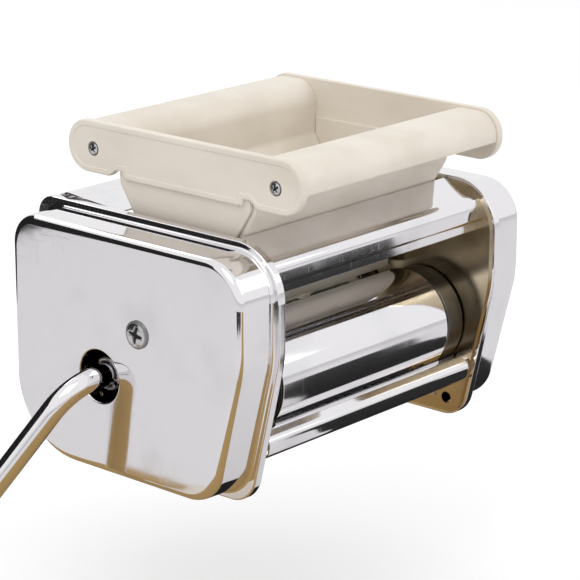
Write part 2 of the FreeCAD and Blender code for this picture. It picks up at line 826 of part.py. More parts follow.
def top_plate(name, sign):
    """A ramp from the hopper to a rounded nose, a crease and a hanging lip."""
    end = "front" if sign == "-" else "rear"
    reach = f"ramp_{end}"
    high = f"ramp_{end}_height"
    low = f"lip_{end}_height"
    brow = f"({reach} - nose - 1.5)"
    corners = [
        (f"{sign}ramp_root", "ramp_root_height"),
        (f"{sign}{brow}", f"{high} + 0.4", "9"),
        (f"{sign}{reach}", f"{high} - 2.2", "nose"),
        (f"{sign}{reach}", f"{low} + 5.4", "1.2"),
        (f"{sign}({reach} - 1.3)", f"{low} + 4.4", "1.2"),
        (f"{sign}({reach} - 1.3)", low),
    ]
    strip = bent_sheet(name, corners, "bay_half", "sheet", inward=sign == "-")
    fall = f"(ramp_root_height - {high} - 0.4) / ({brow} - ramp_root)"
    roof = [f"ramp_root_height - 0.4 - {fall} * {across}" for across in ("1", "(1 + ear)")]
    spot = rivet_spots()[0 if sign == "-" else 3]
    return keep(with_ears(name, strip, *spot, roof), name)


def bottom_rail(name, sign):
    """A flange, a crease and a rounded rail that guards the ravioli's way out."""
    brow = "(rail_reach - nose + 1.2)"
    nose_corners = [
        (f"{sign}rail_root", "rail_top + 0.6"),
        (f"{sign}{brow}", "rail_top", "4"),
        (f"{sign}rail_reach", "rail_top - 3.6", "4"),
        (f"{sign}(rail_reach - 1.4)", "rail_bottom + 2", "4.5"),
        (f"{sign}rail_return", "rail_bottom"),
    ]
    strip = bent_sheet(name, nose_corners, "rail_half", "sheet", inward=sign == "-")
    flange_corners = nose_corners[:2] + [(f"{sign}(rail_reach - (nose - 1.2) / 2)", "rail_top - 1.8")]
    flange = bent_sheet(name + "_flange", flange_corners, "bay_half", "sheet", inward=sign == "-")
    spot = rivet_spots()[1 if sign == "-" else 4]
    roof = ["rail_top", "rail_top - 2"]
    return keep(with_ears(name, fuse(name + "_sheet", [strip, flange]), *spot, roof), name)


def scraper(name, sign):
    """A springy blade close under its roller that peels the ravioli off."""
    corners = [
        (f"{sign}scraper_tip", "scraper_tip_height"),
        (f"{sign}(scraper_tip + 6)", "scraper_foot_height + 1.5", "6"),
        (f"{sign}scraper_foot", "scraper_foot_height"),
    ]
    strip = bent_sheet(name, corners, "bay_half", "scraper_sheet", inward=sign == "-")
    spot = rivet_spots()[2 if sign == "-" else 5]
    roof = ["scraper_foot_height - 0.2", "scraper_foot_height - 0.4"]
    return keep(with_ears(name, strip, *spot, roof), name)


def plate_rivets():
    """A rivet through each ear, flush with the outer face of its frame plate."""
    items = []
    head = "bay_half - sheet - 1"
    for side in (-1, 1):
        for across, up in rivet_spots():
            outline = [(f"{side} * ({head})", "0"), (f"{side} * {plate_back}", "0"),
                       (f"{side} * {plate_back}", "rivet"), (f"{side} * (bay_half - sheet)", "rivet"),
                       (f"{side} * (bay_half - sheet)", "rivet + 1"), (f"{side} * ({head})", "rivet + 0.6")]
            items.append(place(turned(f"rivet_{len(items)}", outline), across, up))
    group("plate_rivets", items)


def hang_pins():
    """The pins that drop into the host machine's brackets, and the rests below."""
    pins = []
    rests = []
    for side in (-1, 1):
        tail = f"{side} * ({plate_back} + 1.2)"
        tip = f"{side} * (bay_half - hang_pin_length)"
        outline = [(tip, "0"), (tail, "0"), (tail, "3.4"), (f"{side} * {plate_back}", "3.6"),
                   (f"{side} * {plate_back}", "2.2"), (f"{side} * bay_half", "2.2"),
                   (f"{side} * bay_half", "hang_pin"), (tip, "hang_pin")]
        pins.append(place(turned(f"hang_pin_{side}", outline), "hang_back", "hang_height"))
        rests.append(place(turned(f"rest_{side}", outline), "hang_back - 6", "rest_height"))
    group("hang_pins", pins)
    group("rest_pins", rests)


def cover_studs():
    """The studs on the frame plates that the covers are screwed to."""
    studs = []
    for side in (-1, 1):
        end = f"{side} * ({cover_face} - cover_wall)"
        outline = [(f"{side} * bay_half", "cover_screw"), (end, "cover_screw"), (end, "cover_stud"),
                   (f"{side} * {plate_back}", "cover_stud"), (f"{side} * {plate_back}", "2.5"),
                   (f"{side} * bay_half", "2.5")]
        studs.append(place(turned(f"stud_{side}", outline), "0", "cover_screw_height"))
    group("cover_studs", studs)


def cross_screw(name, side, face, head, shank, length, rise, recess):
    """A domed screw with a cross recess, its head outwards."""
    tip = f"{side} * ({face} - {length})"
    seat = f"{side} * ({face})"
    top = f"{side} * ({face} + {rise})"
    edge = f"{side} * ({face} + {rise} * 0.4)"
    outline = [(tip, "0"), (top, "0"), (top, f"{head} * 0.55"), (edge, head), (seat, head),
               (seat, shank), (tip, shank)]
    body = turned(name, outline)
    cross = side_sketch(body, f"{side} * ({face} + {rise})")
    arm = f"{head} * 0.62"
    blade = f"{head} * 0.13"
    draw(cross, [(f"-{arm}", f"-{blade}"), (f"-{blade}", f"-{blade}"), (f"-{blade}", f"-{arm}"),
                 (blade, f"-{arm}"), (blade, f"-{blade}"), (arm, f"-{blade}"), (arm, blade), (blade, blade),
                 (blade, arm), (f"-{blade}", arm), (f"-{blade}", blade), (f"-{arm}", blade)])
    cut_back(body, cross, recess, side)
    return body


def cover_screws():
    for side, label in ((-1, "left_cover_screw"), (1, "right_cover_screw")):
        screw = cross_screw(label, side, cover_face, "cover_screw_head", "cover_screw", "12",
                            "cover_screw_rise", "cover_screw_recess")
        keep(screw, label, "0", "cover_screw_height")


def hopper_outline(inset):
    """The end plate, moved in by an inset: two round lobes, a notch beside each."""
    lobe = f"(hopper_top - hopper_foot) / 2 - 0.1 - {inset}"
    low = f"(hopper_foot + {inset})"
    corners = []
    for sign in ("-", ""):
        half = [(f"{sign}(hopper_reach - {inset})", f"hopper_top - {inset}", lobe),
                (f"{sign}(hopper_reach - {inset})", low, lobe),
                (f"{sign}(funnel_side + 6)", low, "2.5"),
                (f"{sign}(funnel_side + 1.5)", f"{low} + hopper_notch", "2"),
                (f"{sign}(funnel_side - 3 - {inset})", f"{low} + hopper_notch"),
                (f"{sign}(funnel_side - 4 - {inset})", low)]
        corners += half if sign == "-" else half[::-1]
    return corners


def hopper_end(name, side):
    """A lobed end plate with a funnel wall below it, in one moulding."""
    body = new_body(name)
    inner = f"{side} * (hopper_half - hopper_end)"
    plate_sketch = side_sketch(body, inner)
    draw(plate_sketch, hopper_outline("0"))
    plate = pad(body, plate_sketch, "hopper_end")
    plate.Reversed = side < 0
    funnel = side_sketch(body, f"{side} * funnel_end")
    wide = "(funnel_side - 0.3)"
    narrow = "(throat - 0.3)"
    draw(funnel, [(f"-{wide}", "hopper_foot + 6"), (wide, "hopper_foot + 6"),
                  (wide, "funnel_shoulder", "5"), (narrow, "throat_shoulder"),
                  (narrow, "throat_bottom"), (f"-{narrow}", "throat_bottom"),
                  (f"-{narrow}", "throat_shoulder"), (f"-{wide}", "funnel_shoulder", "5")])
    wall = pad(body, funnel, "funnel_end - (hopper_half - hopper_end) + 1.2")
    wall.Reversed = side > 0
    document.recompute()
    face = side * value("hopper_half")
    rim = edges_where(body.Shape, lambda edge: all(abs(v.X - face) < 1e-4 for v in edge.Vertexes))
    fillet(body, rim, "0.9")
    document.recompute()
    holes = side_sketch(body, f"{side} * hopper_half")
    sinks = side_sketch(body, f"{side} * hopper_half")
    for sign in ("-", ""):
        draw_circle(holes, f"{sign}hopper_screw_out", "hopper_screw_height", "hopper_screw")
        draw_circle(sinks, f"{sign}hopper_screw_out", "hopper_screw_height", "hopper_screw_head + 0.4")
    cut_back(body, sinks, "1.6", side)
    cut_back(body, holes, "hopper_end + 1", side)
    panel = side_sketch(body, f"{side} * hopper_half")
    draw(panel, hopper_outline("hopper_border"))
    cut_back(body, panel, "0.5", side)
    return keep(body, name)


def hopper_side(name, sign):
    """A long wall: rounded rim, upright, slope and throat, with a boss at each end."""
    lobe = "(hopper_top - hopper_foot) / 2"
    roll = f"{lobe} - 1.1"
    outer = f"{sign}(hopper_reach - 1)"
    corners = [
        (f"{sign}throat", "throat_bottom"),
        (f"{sign}throat", "throat_shoulder", "8"),
        (f"{sign}funnel_side", "funnel_shoulder", "5"),
        (f"{sign}funnel_side", "hopper_top - 1", roll),
        (outer, "hopper_top - 1", roll),
        (outer, f"hopper_foot + {lobe} - 3"),
    ]
    half = "hopper_half - hopper_end"
    strip = bent_sheet(name, corners, half, "hopper_wall", inward=sign == "-")
    pieces = [strip]
    drills = []
    for side in (-1, 1):
        ends = sorted((f"{side} * ({half} - boss_length)", f"{side} * ({half})"), key=value)
        across = f"{sign}hopper_screw_out"
        spot = (across, "hopper_screw_height")
        pieces.append(x_cylinder(f"{name}_boss_{side}", *ends, *spot, "hopper_boss"))
        low = (ends[0], f"{across} - 1", "hopper_screw_height")
        high = (ends[1], f"{across} + 1", "hopper_top - 1.6")
        pieces.append(box(f"{name}_rib_{side}", low, high))
        span = (f"{ends[0]} - 1", f"{ends[1]} + 1")
        drills.append(x_cylinder(f"{name}_drill_{side}", *span, *spot, "hopper_screw"))
    solid = fuse(name + "_moulded", pieces)
    return keep(minus(name, solid, fuse(name + "_drills", drills)), name)


def hopper_screws():
    items = []
    for side in (-1, 1):
        for sign in ("-", ""):
            screw = cross_screw(f"hopper_screw_{side}{sign}", side, "hopper_half - 1.6",
                                "hopper_screw_head", "hopper_screw", "12", "1.4", "0.9")
            items.append(place(screw, f"{sign}hopper_screw_out", "hopper_screw_height"))
    group("hopper_screws", items)


def crank_turn():
    """Turns a piece drawn with +X outwards and +Y along the arm into its rest pose."""
    about_axle = FreeCAD.Rotation(FreeCAD.Vector(1, 0, 0), value("crank_angle"))
    return about_axle.multiply(FreeCAD.Rotation(FreeCAD.Vector(0, 0, 1), 180))


def keep_on_crank(body, label, along="0"):
    """Places a piece of the crank, at the axle or out along the arm."""
    body.Placement = FreeCAD.Placement(FreeCAD.Vector(0, 0, 0), crank_turn())
    across = f"axle_offset - ({along}) * cos(crank_angle * 1deg)"
    up = f"axle_height - ({along}) * sin(crank_angle * 1deg)"
    return keep(body, label, across, up)


def crank():
    """The bent rod: a plug end, an arm that leans outwards and a grip spindle."""
    inner = f"{socket_stop} + 0.5"
    first = f"{cover_face} + crank_out"
    second = f"{first} + crank_rise"
    body = new_body("crank_rod")
    line = sketch_on(body, "XY_Plane")
    bends = [(inner, "0"), (first, "0", "crank_bend"), (second, "crank_arm", "grip_bend"),
             (grip_foot, "crank_arm")]
    draw(line, bends, closed=False)
    ring = side_sketch(body, inner)
    draw_circle(ring, "0", "0", "crank_rod")
    pipe = body.newObject("PartDesign::AdditivePipe", "Pipe")
    pipe.Profile = ring
    pipe.Spine = (line, [])
    spindle = side_sketch(body, grip_foot)
    draw_circle(spindle, "crank_arm", "0", "spindle")
    pad(body, spindle, "grip_length + 0.4")
    hole = sketch_on(body, "XY_Plane", "-2 * crank_rod")
    draw_circle(hole, f"{socket_face} - 3", "0", "pin_radius")
    cut(body, hole, "4 * crank_rod")
    keep_on_crank(body, "crank_rod")


def crank_pin():
    """The cross pin that drives the socket's slot."""
    body = new_body("crank_pin")
    ring = sketch_on(body, "XY_Plane", "-(socket_radius - 0.5)")
    draw_circle(ring, f"{socket_face} - 3", "0", "pin_radius")
    pad(body, ring, "2 * (socket_radius - 0.5)")
    keep_on_crank(body, "crank_pin")


def grip():
    """The turned grip, free on its spindle between the rod's shoulder and the cap."""
    start = f"{grip_foot} + 0.4"
    stop = f"{grip_foot} + grip_length"
    bore = "spindle + grip_fit"
    outline = [(start, bore), (f"{stop} - 3", bore), (f"{stop} - 3", "7.2"), (stop, "7.2"),
               (stop, "9", "1"), (f"{stop} - 6", "grip_radius + 0.6", "16"),
               (f"{start} + grip_length / 2", "grip_radius - 0.5", "60"),
               (f"{start} + 8", "8.6", "14"), (start, "8")]
    keep_on_crank(turned("grip", outline), "grip", "crank_arm")
    cap = [(f"{stop} - 2.6", "spindle"), (f"{stop} + 0.4", "spindle"), (f"{stop} + 0.4", "4.8"),
           (f"{stop} - 0.4", "6.6"), (f"{stop} - 2.6", "6.6")]
    keep_on_crank(turned("grip_cap", cap), "grip_cap", "crank_arm")


def build():
    for side, label in ((-1, "left"), (1, "right")):
        side_cover(label + "_side_cover", side)
        frame_plate(label + "_frame_plate", side)
        hopper_end(label + "_hopper_end", side)
    for sign, label in (("-", "front"), ("", "rear")):
        top_plate(label + "_top_plate", sign)
        bottom_rail(label + "_bottom_rail", sign)
        guard(label + "_roller_guard", sign)
        scraper(label + "_scraper", sign)
        mould_roller(label + "_mould_roller", sign)
        roller_hubs(label + "_roller_hubs", sign)
        spacer_collars(label + "_spacer_collars", sign)
        hopper_side(label + "_hopper_wall", sign)
    roller_axle("front_axle", "-")
    drive_axle = roller_axle("drive_axle", "")
    socket = crank_socket()
    for target in (drive_axle, socket):
        drill_socket(target)
    socket_pin()
    gear("drive_gear", "", 0)
    gear("driven_gear", "-", 0.5)
    axle_clips()
    bushes()
    tie_rods()
    plate_rivets()
    hang_pins()
    cover_studs()
    cover_screws()
    hopper_screws()
    crank()
    crank_pin()
    grip()


def check():
    """Stops if anything in the document failed or a sub-part isn't sound."""
    document.recompute()
    for item in document.Objects:
        if "Invalid" in item.State or "Error" in item.State:
            raise ValueError(f"{item.Label} failed: {item.State}")
    for item in sub_parts:
        if item.Shape.isNull() or not item.Shape.isValid() or not item.Shape.Solids:
            raise ValueError(f"{item.Label} is not a sound solid")


def export():
    os.makedirs("parts", exist_ok=True)
    for item in sub_parts:
        item.Shape.exportStep(f"parts/{item.Label}.step")
        spread = item.Shape.BoundBox
        print(f"{item.Label}: {len(item.Shape.Solids)} solid(s), {item.Shape.Volume / 1000:.2f} cm3, "
              f"X {spread.XMin:.1f}..{spread.XMax:.1f}, Y {spread.YMin:.1f}..{spread.YMax:.1f}, "
              f"Z {spread.ZMin:.1f}..{spread.ZMax:.1f}")


build()
check()
export()
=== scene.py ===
import json
import math

import bmesh
import bpy
from mathutils import Matrix, Vector


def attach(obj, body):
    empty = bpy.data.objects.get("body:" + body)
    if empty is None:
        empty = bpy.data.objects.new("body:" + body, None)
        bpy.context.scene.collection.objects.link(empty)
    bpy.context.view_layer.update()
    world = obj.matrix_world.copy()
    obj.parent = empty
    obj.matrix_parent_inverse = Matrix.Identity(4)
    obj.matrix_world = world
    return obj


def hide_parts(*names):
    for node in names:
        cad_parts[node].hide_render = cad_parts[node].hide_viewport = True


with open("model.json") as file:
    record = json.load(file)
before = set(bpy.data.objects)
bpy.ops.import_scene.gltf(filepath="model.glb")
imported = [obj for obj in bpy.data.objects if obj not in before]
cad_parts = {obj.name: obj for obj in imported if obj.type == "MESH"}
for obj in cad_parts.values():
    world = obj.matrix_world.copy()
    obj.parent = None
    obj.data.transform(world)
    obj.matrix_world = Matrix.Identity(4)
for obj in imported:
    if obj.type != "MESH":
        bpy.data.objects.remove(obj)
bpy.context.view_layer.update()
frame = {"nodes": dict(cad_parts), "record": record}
bodyOf = {node: body for body, group in frame["record"]["behaviour"]["bodies"].items() for node in group}
print("frame loaded,", len(frame["nodes"]), "nodes")


# shared places in millimetres: where the frame's origin lies, and the rollers' axes

places = {"back": 78.0, "height": 92.0, "rollerAcross": 26.0, "rollerUp": 51.6}


# camera

cameraView = {
    "place": (-0.8575, -0.8374, 0.3285),
    "right": (0.66197, -0.74953, 0.0),
    "up": (0.21597, 0.19074, 0.95759),
    "back": (-0.71774, -0.63390, 0.28814),
    "lens": 150.98,
    "sensor": 36.0,
}


def linked(name, data):
    made = bpy.data.objects.new(name, data)
    bpy.context.scene.collection.objects.link(made)
    return made


def addCamera(view):
    lens = bpy.data.cameras.new("photoCamera")
    lens.lens = view["lens"]
    lens.sensor_width = view["sensor"]
    camera = linked("photoCamera", lens)
    turn = Matrix((view["right"], view["up"], view["back"])).transposed()
    camera.matrix_world = Matrix.Translation(view["place"]) @ turn.to_4x4()
    bpy.context.scene.camera = camera


addCamera(cameraView)
bpy.context.scene.view_settings.view_transform = "Standard"


# nodes: numbers as sums, everything else through one method

class Wire:
    def __init__(self, board, socket):
        self.board = board
        self.socket = socket

    def out(self, name):
        return Wire(self.board, self.socket.node.outputs[name])

    def sum(self, operation, *values):
        return self.board.node("ShaderNodeMath", {"operation": operation}, dict(enumerate(values)))

    def apply(self, operation, *values):
        return self.sum(operation, self, *values)

    def __add__(self, other):
        return self.sum("ADD", self, other)

    def __sub__(self, other):
        return self.sum("SUBTRACT", self, other)

    def __rsub__(self, other):
        return self.sum("SUBTRACT", other, self)

    def __mul__(self, other):
        return self.sum("MULTIPLY", self, other)

    def __truediv__(self, other):
        return self.sum("DIVIDE", self, other)

    def __rtruediv__(self, other):
        return self.sum("DIVIDE", other, self)

    def step(self, low, high, first=0.0, last=1.0):  # an eased step between two levels
        return self.board.node("ShaderNodeMapRange", {"interpolation_type": "SMOOTHSTEP"},
                               {0: self, 1: low, 2: high, 3: first, 4: last})


class Board:
    def __init__(self, tree):
        self.tree = tree

    def node(self, kind, settings=None, inputs=None, output=0):
        made = self.tree.nodes.new(kind)
        for key, value in (settings or {}).items():
            if key == "stops":
                for stop, (place, colour) in zip(self.stopsOf(made, len(value)), value):
                    stop.position = place
                    stop.color = colour
            else:
                setattr(made, key, value)
        for key, value in (inputs or {}).items():
            if isinstance(value, Wire):
                self.tree.links.new(value.socket, made.inputs[key])
            else:
                made.inputs[key].default_value = value
        return Wire(self, made.outputs[output])

    def stopsOf(self, ramp, count):
        stops = ramp.color_ramp.elements
        while len(stops) < count:
            stops.new(1.0)
        return stops


def tint(red, green, blue):  # screen values, 0 to 255
    share = [value / 255 for value in (red, green, blue)]
    return tuple(c / 12.92 if c <= 0.04045 else ((c + 0.055) / 1.055) ** 2.4 for c in share) + (1.0,)


class Finish(Board):
    def __init__(self, name, **fixed):
        self.material = bpy.data.materials.new(name)
        self.material.use_nodes = True
        super().__init__(self.material.node_tree)
        self.shader = self.tree.nodes["Principled BSDF"]
        for key, value in fixed.items():
            self.shader.inputs[key.replace("_", " ")].default_value = value
        place = self.node("ShaderNodeTexCoord", output="Object")
        self.spot = self.node("ShaderNodeMapping", None,  # the piece's own place, in millimetres
                              {0: place, "Scale": (1000, 1000, 1000)})

    def feed(self, **wires):
        for key, wire in wires.items():
            self.tree.links.new(wire.socket, self.shader.inputs[key.replace("_", " ")])

    def noise(self, size, detail, stretch=(1, 1, 1), shift=(0, 0, 0), spot=None):
        place = self.node("ShaderNodeMapping", None,
                          {0: spot or self.spot, "Scale": [way / size for way in stretch], "Location": shift})
        return self.node("ShaderNodeTexNoise", None, {"Vector": place, "Scale": 1.0, "Detail": detail})

    def blend(self, factor, first, second):
        return self.node("ShaderNodeMix", {"data_type": "RGBA"}, {0: factor, 6: first, 7: second}, 2)

    def bump(self, height, deep, below=None):
        inputs = {"Height": height, "Distance": deep / 1000}
        if below:
            inputs["Normal"] = below
        return self.node("ShaderNodeBump", None, inputs)

    def roundAxis(self, across, up):  # how far along the roller, and how far out from an axis
        shift = (0, places["back"] - across, places["height"] - up)
        moved = self.node("ShaderNodeMapping", None, {0: self.spot, "Location": shift})
        parts = self.node("ShaderNodeSeparateXYZ", None, {0: moved})
        side, high = parts.out("Y"), parts.out("Z")
        return parts, (side * side + high * high).apply("SQRT")


# finishes

chromeLook = {
    "bright": tint(236, 234, 236),
    "dull": tint(222, 221, 224),
    "gloss": 0.035,
    "smudge": 0.06,
    "wave": 0.05,       # how uneven the pressed sheet is, mm
    "waveSize": 55.0,
    "hairline": 0.05,
}


def chromeFinish(name, shift, look, wave=1.0):
    finish = Finish(name, Metallic=1.0)
    smudge = finish.noise(34, 3, shift=shift).step(0.48, 0.72)
    grain = finish.noise(5.0, 4, shift=shift)
    scratch = finish.noise(0.9, 1, (1, 0.04, 1), shift).step(0.66, 0.72)
    cross = finish.noise(1.1, 1, (1, 1, 0.05), shift).step(0.68, 0.73)
    hairline = scratch.apply("MAXIMUM", cross) * look["hairline"]
    finish.feed(
        Base_Color=finish.blend(smudge * 0.6 + grain * 0.25, look["bright"], look["dull"]),
        Roughness=smudge * look["smudge"] + grain * 0.03 + hairline + look["gloss"],
        Normal=finish.bump(finish.noise(look["waveSize"], 1, shift=shift), look["wave"] * wave,
                           finish.bump(hairline, -0.01)),
    )
    return finish.material


plateLook = {"bright": tint(200, 186, 160), "dull": tint(158, 142, 114), "gloss": 0.13}
springLook = {"bright": tint(196, 196, 198), "dull": tint(160, 160, 164), "gloss": 0.24}


def plateFinish(name, look):
    finish = Finish(name, Metallic=1.0)
    rolled = finish.noise(0.6, 3, (1, 0.02, 1))  # rolling marks run along the sheet
    cloud = finish.noise(26, 3).step(0.35, 0.7)
    finish.feed(
        Base_Color=finish.blend(cloud, look["bright"], look["dull"]),
        Roughness=cloud * 0.08 + rolled * 0.1 + look["gloss"],
        Normal=finish.bump(rolled, 0.012),
    )
    return finish.material


turnedLook = {
    "bright": tint(124, 121, 116),
    "dark": tint(74, 71, 68),
    "gloss": 0.22,
    "ring": 0.42,
    "ringDeep": 0.012,
}


def turnedFinish(name, way, look):
    finish = Finish(name, Metallic=1.0)
    along, out = finish.roundAxis(way * places["rollerAcross"], places["rollerUp"])
    place = finish.node("ShaderNodeCombineXYZ", None, {0: along.out("X"), 1: out, 2: 0.0})
    rings = finish.noise(look["ring"], 2, spot=place)
    stain = finish.noise(17, 4).step(0.4, 0.75)
    finish.feed(
        Base_Color=finish.blend(stain * 0.7 + rings * 0.2, look["bright"], look["dark"]),
        Roughness=stain * 0.12 + rings * 0.16 + look["gloss"],
        Normal=finish.bump(rings, look["ringDeep"]),
    )
    return finish.material


mouldLook = {"bright": tint(196, 196, 194), "dark": tint(150, 150, 148), "gloss": 0.3}


def mouldFinish(name, look):
    finish = Finish(name, Metallic=1.0)
    pits = finish.node("ShaderNodeTexVoronoi", None, {"Vector": finish.spot, "Scale": 0.9})
    grit = finish.noise(0.5, 3)
    cloud = finish.noise(14, 4).step(0.35, 0.7)
    finish.feed(
        Base_Color=finish.blend(cloud, look["bright"], look["dark"]),
        Roughness=cloud * 0.14 + grit * 0.1 + look["gloss"],
        Normal=finish.bump(grit + pits * 0.4, 0.02),
    )
    return finish.material


steelLook = {"bright": tint(176, 176, 180), "oily": tint(92, 88, 84), "gloss": 0.2}


def driveSteelFinish(name, look):
    finish = Finish(name, Metallic=1.0)
    oil = finish.noise(7, 4).step(0.45, 0.7)
    mark = finish.noise(0.35, 2, (1, 0.3, 0.3))
    finish.feed(
        Base_Color=finish.blend(oil * 0.8, look["bright"], look["oily"]),
        Roughness=oil * 0.16 + mark * 0.14 + look["gloss"],
        Normal=finish.bump(mark, 0.012),
    )
    return finish.material


zincLook = {"pale": tint(196, 196, 200), "blue": tint(168, 172, 184), "gloss": 0.22}


def zincFinish(name, look):
    finish = Finish(name, Metallic=1.0)
    flower = finish.node("ShaderNodeTexVoronoi", {"feature": "SMOOTH_F1"},
                         {"Vector": finish.spot, "Scale": 0.35})
    wear = finish.noise(2.2, 4).step(0.5, 0.75)
    finish.feed(
        Base_Color=finish.blend(flower, look["pale"], look["blue"]),
        Roughness=flower * 0.08 + wear * 0.16 + look["gloss"],
        Normal=finish.bump(wear, 0.01),
    )
    return finish.material


bronzeLook = {"bright": tint(198, 164, 104), "dark": tint(128, 96, 52), "gloss": 0.34}


def bronzeFinish(name, look):
    finish = Finish(name, Metallic=1.0)
    pore = finish.node("ShaderNodeTexVoronoi", None, {"Vector": finish.spot, "Scale": 3.5}).step(0.0, 0.28)
    cloud = finish.noise(4, 3)
    finish.feed(
        Base_Color=finish.blend(pore * 0.6 + cloud * 0.4, look["dark"], look["bright"]),
        Roughness=cloud * 0.2 + look["gloss"],
        Normal=finish.bump(pore, 0.03),
    )
    return finish.material


collarLook = {"black": tint(34, 34, 36), "worn": tint(66, 65, 66), "gloss": 0.42}


def collarFinish(name, look):
    finish = Finish(name)
    wear = finish.noise(3.0, 4).step(0.45, 0.75)
    grain = finish.noise(0.25, 2)
    finish.feed(
        Base_Color=finish.blend(wear, look["black"], look["worn"]),
        Roughness=wear * 0.2 + grain * 0.08 + look["gloss"],
        Normal=finish.bump(grain, 0.01),
    )
    return finish.material


# the dark screw tint serves both random grime and the painted shade in the cross recess and round the head's
# rim
screwLook = {"bright": tint(206, 206, 208), "grimeAndShade": tint(30, 28, 26), "gloss": 0.12}


def screwFinish(name, look):
    finish = Finish(name)
    sunk = finish.node("ShaderNodeAttribute", {"attribute_name": "sunk"}, output="Fac")
    # the mask is painted shade in the cross recess and a painted shadow ring at the head's edge, plus random
    # grime spots from the noise
    grimeAndShade = sunk.apply("MAXIMUM", finish.noise(1.4, 4).step(0.62, 0.8) * 0.35)
    grain = finish.noise(0.3, 2)
    finish.feed(
        Base_Color=finish.blend(grimeAndShade, look["bright"], look["grimeAndShade"]),
        Metallic=1 - grimeAndShade * 0.7,
        Roughness=grimeAndShade * 0.4 + grain * 0.12 + look["gloss"],
        Normal=finish.bump(grain, 0.008),
    )
    return finish.material


ivoryLook = {
    "body": tint(231, 223, 211),
    "shade": tint(222, 213, 199),
    "grime": tint(196, 182, 160),
    "gloss": 0.34,
}


def ivoryFinish(name, look):
    finish = Finish(name, IOR=1.46)
    flow = finish.noise(30, 4, (1, 0.5, 1.4)).step(0.35, 0.7)
    speck = finish.noise(1.6, 3).step(0.7, 0.78)
    skin = finish.noise(0.7, 3)
    scuff = finish.noise(1.0, 2, (0.06, 1, 1)).step(0.64, 0.72)
    colour = finish.blend(flow, look["body"], look["shade"])
    finish.feed(
        Base_Color=finish.blend(speck * 0.35, colour, look["grime"]),
        Roughness=flow * 0.08 + skin * 0.08 + scuff * 0.12 + look["gloss"],
        Normal=finish.bump(skin, 0.012, finish.bump(scuff, -0.008)),
    )
    return finish.material


coverChrome = chromeFinish("coverChrome", (0, 0, 0), chromeLook)
sheetChrome = chromeFinish("sheetChrome", (3, 7, 1), chromeLook, 0.6)
rodChrome = chromeFinish("rodChrome", (9, 2, 5), chromeLook, 0.3)
framePlate = plateFinish("framePlate", plateLook)
frontTurned = turnedFinish("frontHubTurned", -1, turnedLook)
rearTurned = turnedFinish("rearHubTurned", 1, turnedLook)
mouldMetal = mouldFinish("mouldMetal", mouldLook)
driveSteel = driveSteelFinish("driveSteel", steelLook)
zincSteel = zincFinish("zincSteel", zincLook)
springSteel = plateFinish("springSteel", springLook)
bushBronze = bronzeFinish("bushBronze", bronzeLook)
collarPlastic = collarFinish("collarPlastic", collarLook)
screwPlate = screwFinish("screwPlate", screwLook)
ivoryPlastic = ivoryFinish("ivoryPlastic", ivoryLook)
print("finishes made")


# shapes in millimetres: across from midway between the rollers, front is minus, up from the covers' foot

def spot(x, across, up):
    return Vector((x, across - places["back"], up - places["height"])) / 1000


def turnsOf(count):
    return [2 * math.pi * k / count for k in range(count)]


def turnedBy(point, angle):
    return Vector((point.x * math.cos(angle) - point.y * math.sin(angle),
                   point.x * math.sin(angle) + point.y * math.cos(angle)))


def tidyPath(points, closed):
    kept = [points[0]]
    for point in points[1:]:
        if (point - kept[-1]).length > 1e-4:
            kept.append(point)
    if closed and (kept[0] - kept[-1]).length < 1e-4:
        kept.pop()
    return kept


def roundedPath(corners, closed=False, steps=None, hold=0.4):
    count = len(corners)
    spots = [Vector(corner[:2]) for corner in corners]
    bends = []
    for i, corner in enumerate(corners):
        radius = corner[2] if len(corner) > 2 else 0
        if not radius or (not closed and i in (0, count - 1)):
            bends.append((0, 0, None, None, 0))
            continue
        back = (spots[i - 1] - spots[i]).normalized()
        on = (spots[(i + 1) % count] - spots[i]).normalized()
        half = back.angle(on) / 2
        bends.append((radius / math.tan(half), radius, back, on, half))
    points = []
    for i, (reach, radius, back, on, half) in enumerate(bends):
        if not radius:
            points.append(spots[i])
            continue
        before = (spots[i - 1] - spots[i]).length - reach - bends[i - 1][0]
        after = (spots[(i + 1) % count] - spots[i]).length - reach - bends[(i + 1) % count][0]
        middle = spots[i] + (back + on).normalized() * radius / math.sin(half)
        turn = math.pi - 2 * half
        way = -1 if back.x * on.y - back.y * on.x > 0 else 1
        number = steps or max(3, math.ceil(math.degrees(turn) / 5))
        first = spots[i] + back * reach
        points.append(first + back * min(hold, before / 3))  # holds the flat beside the bend flat
        for k in range(number + 1):
            points.append(middle + turnedBy(first - middle, way * turn * k / number))
        points.append(points[-1] + on * min(hold, after / 3))
    return points


def offsetPath(points, distance, closed=False):
    moved = []
    count = len(points)
    for i, here in enumerate(points):
        ways = []
        if closed or i > 0:
            ways.append((here - points[i - 1]).normalized())
        if closed or i < count - 1:
            ways.append((points[(i + 1) % count] - here).normalized())
        sides = [Vector((-way.y, way.x)) for way in ways]
        normal = sum(sides, Vector((0, 0))).normalized()
        moved.append(here + normal * distance / max(0.4, normal.dot(sides[0])))
    return moved


def areaOf(loop):
    return sum(a.x * b.y - b.x * a.y for a, b in zip(loop, loop[1:] + loop[:1])) / 2


def sheetLoop(path, left, right):
    path = tidyPath(path, False)
    half = (left + right) / 2
    path[0] = path[0] + (path[1] - path[0]).normalized() * half
    path[-1] = path[-1] + (path[-2] - path[-1]).normalized() * half
    upper = offsetPath(path, left)
    lower = offsetPath(path, -right)[::-1]
    loop = []
    for side, other in ((upper, lower), (lower, upper)):
        loop += side
        middle = (side[-1] + other[0]) / 2
        for share in (0.25, 0.5, 0.75):
            loop.append(middle + turnedBy(side[-1] - middle, -math.pi * share))
    return loop


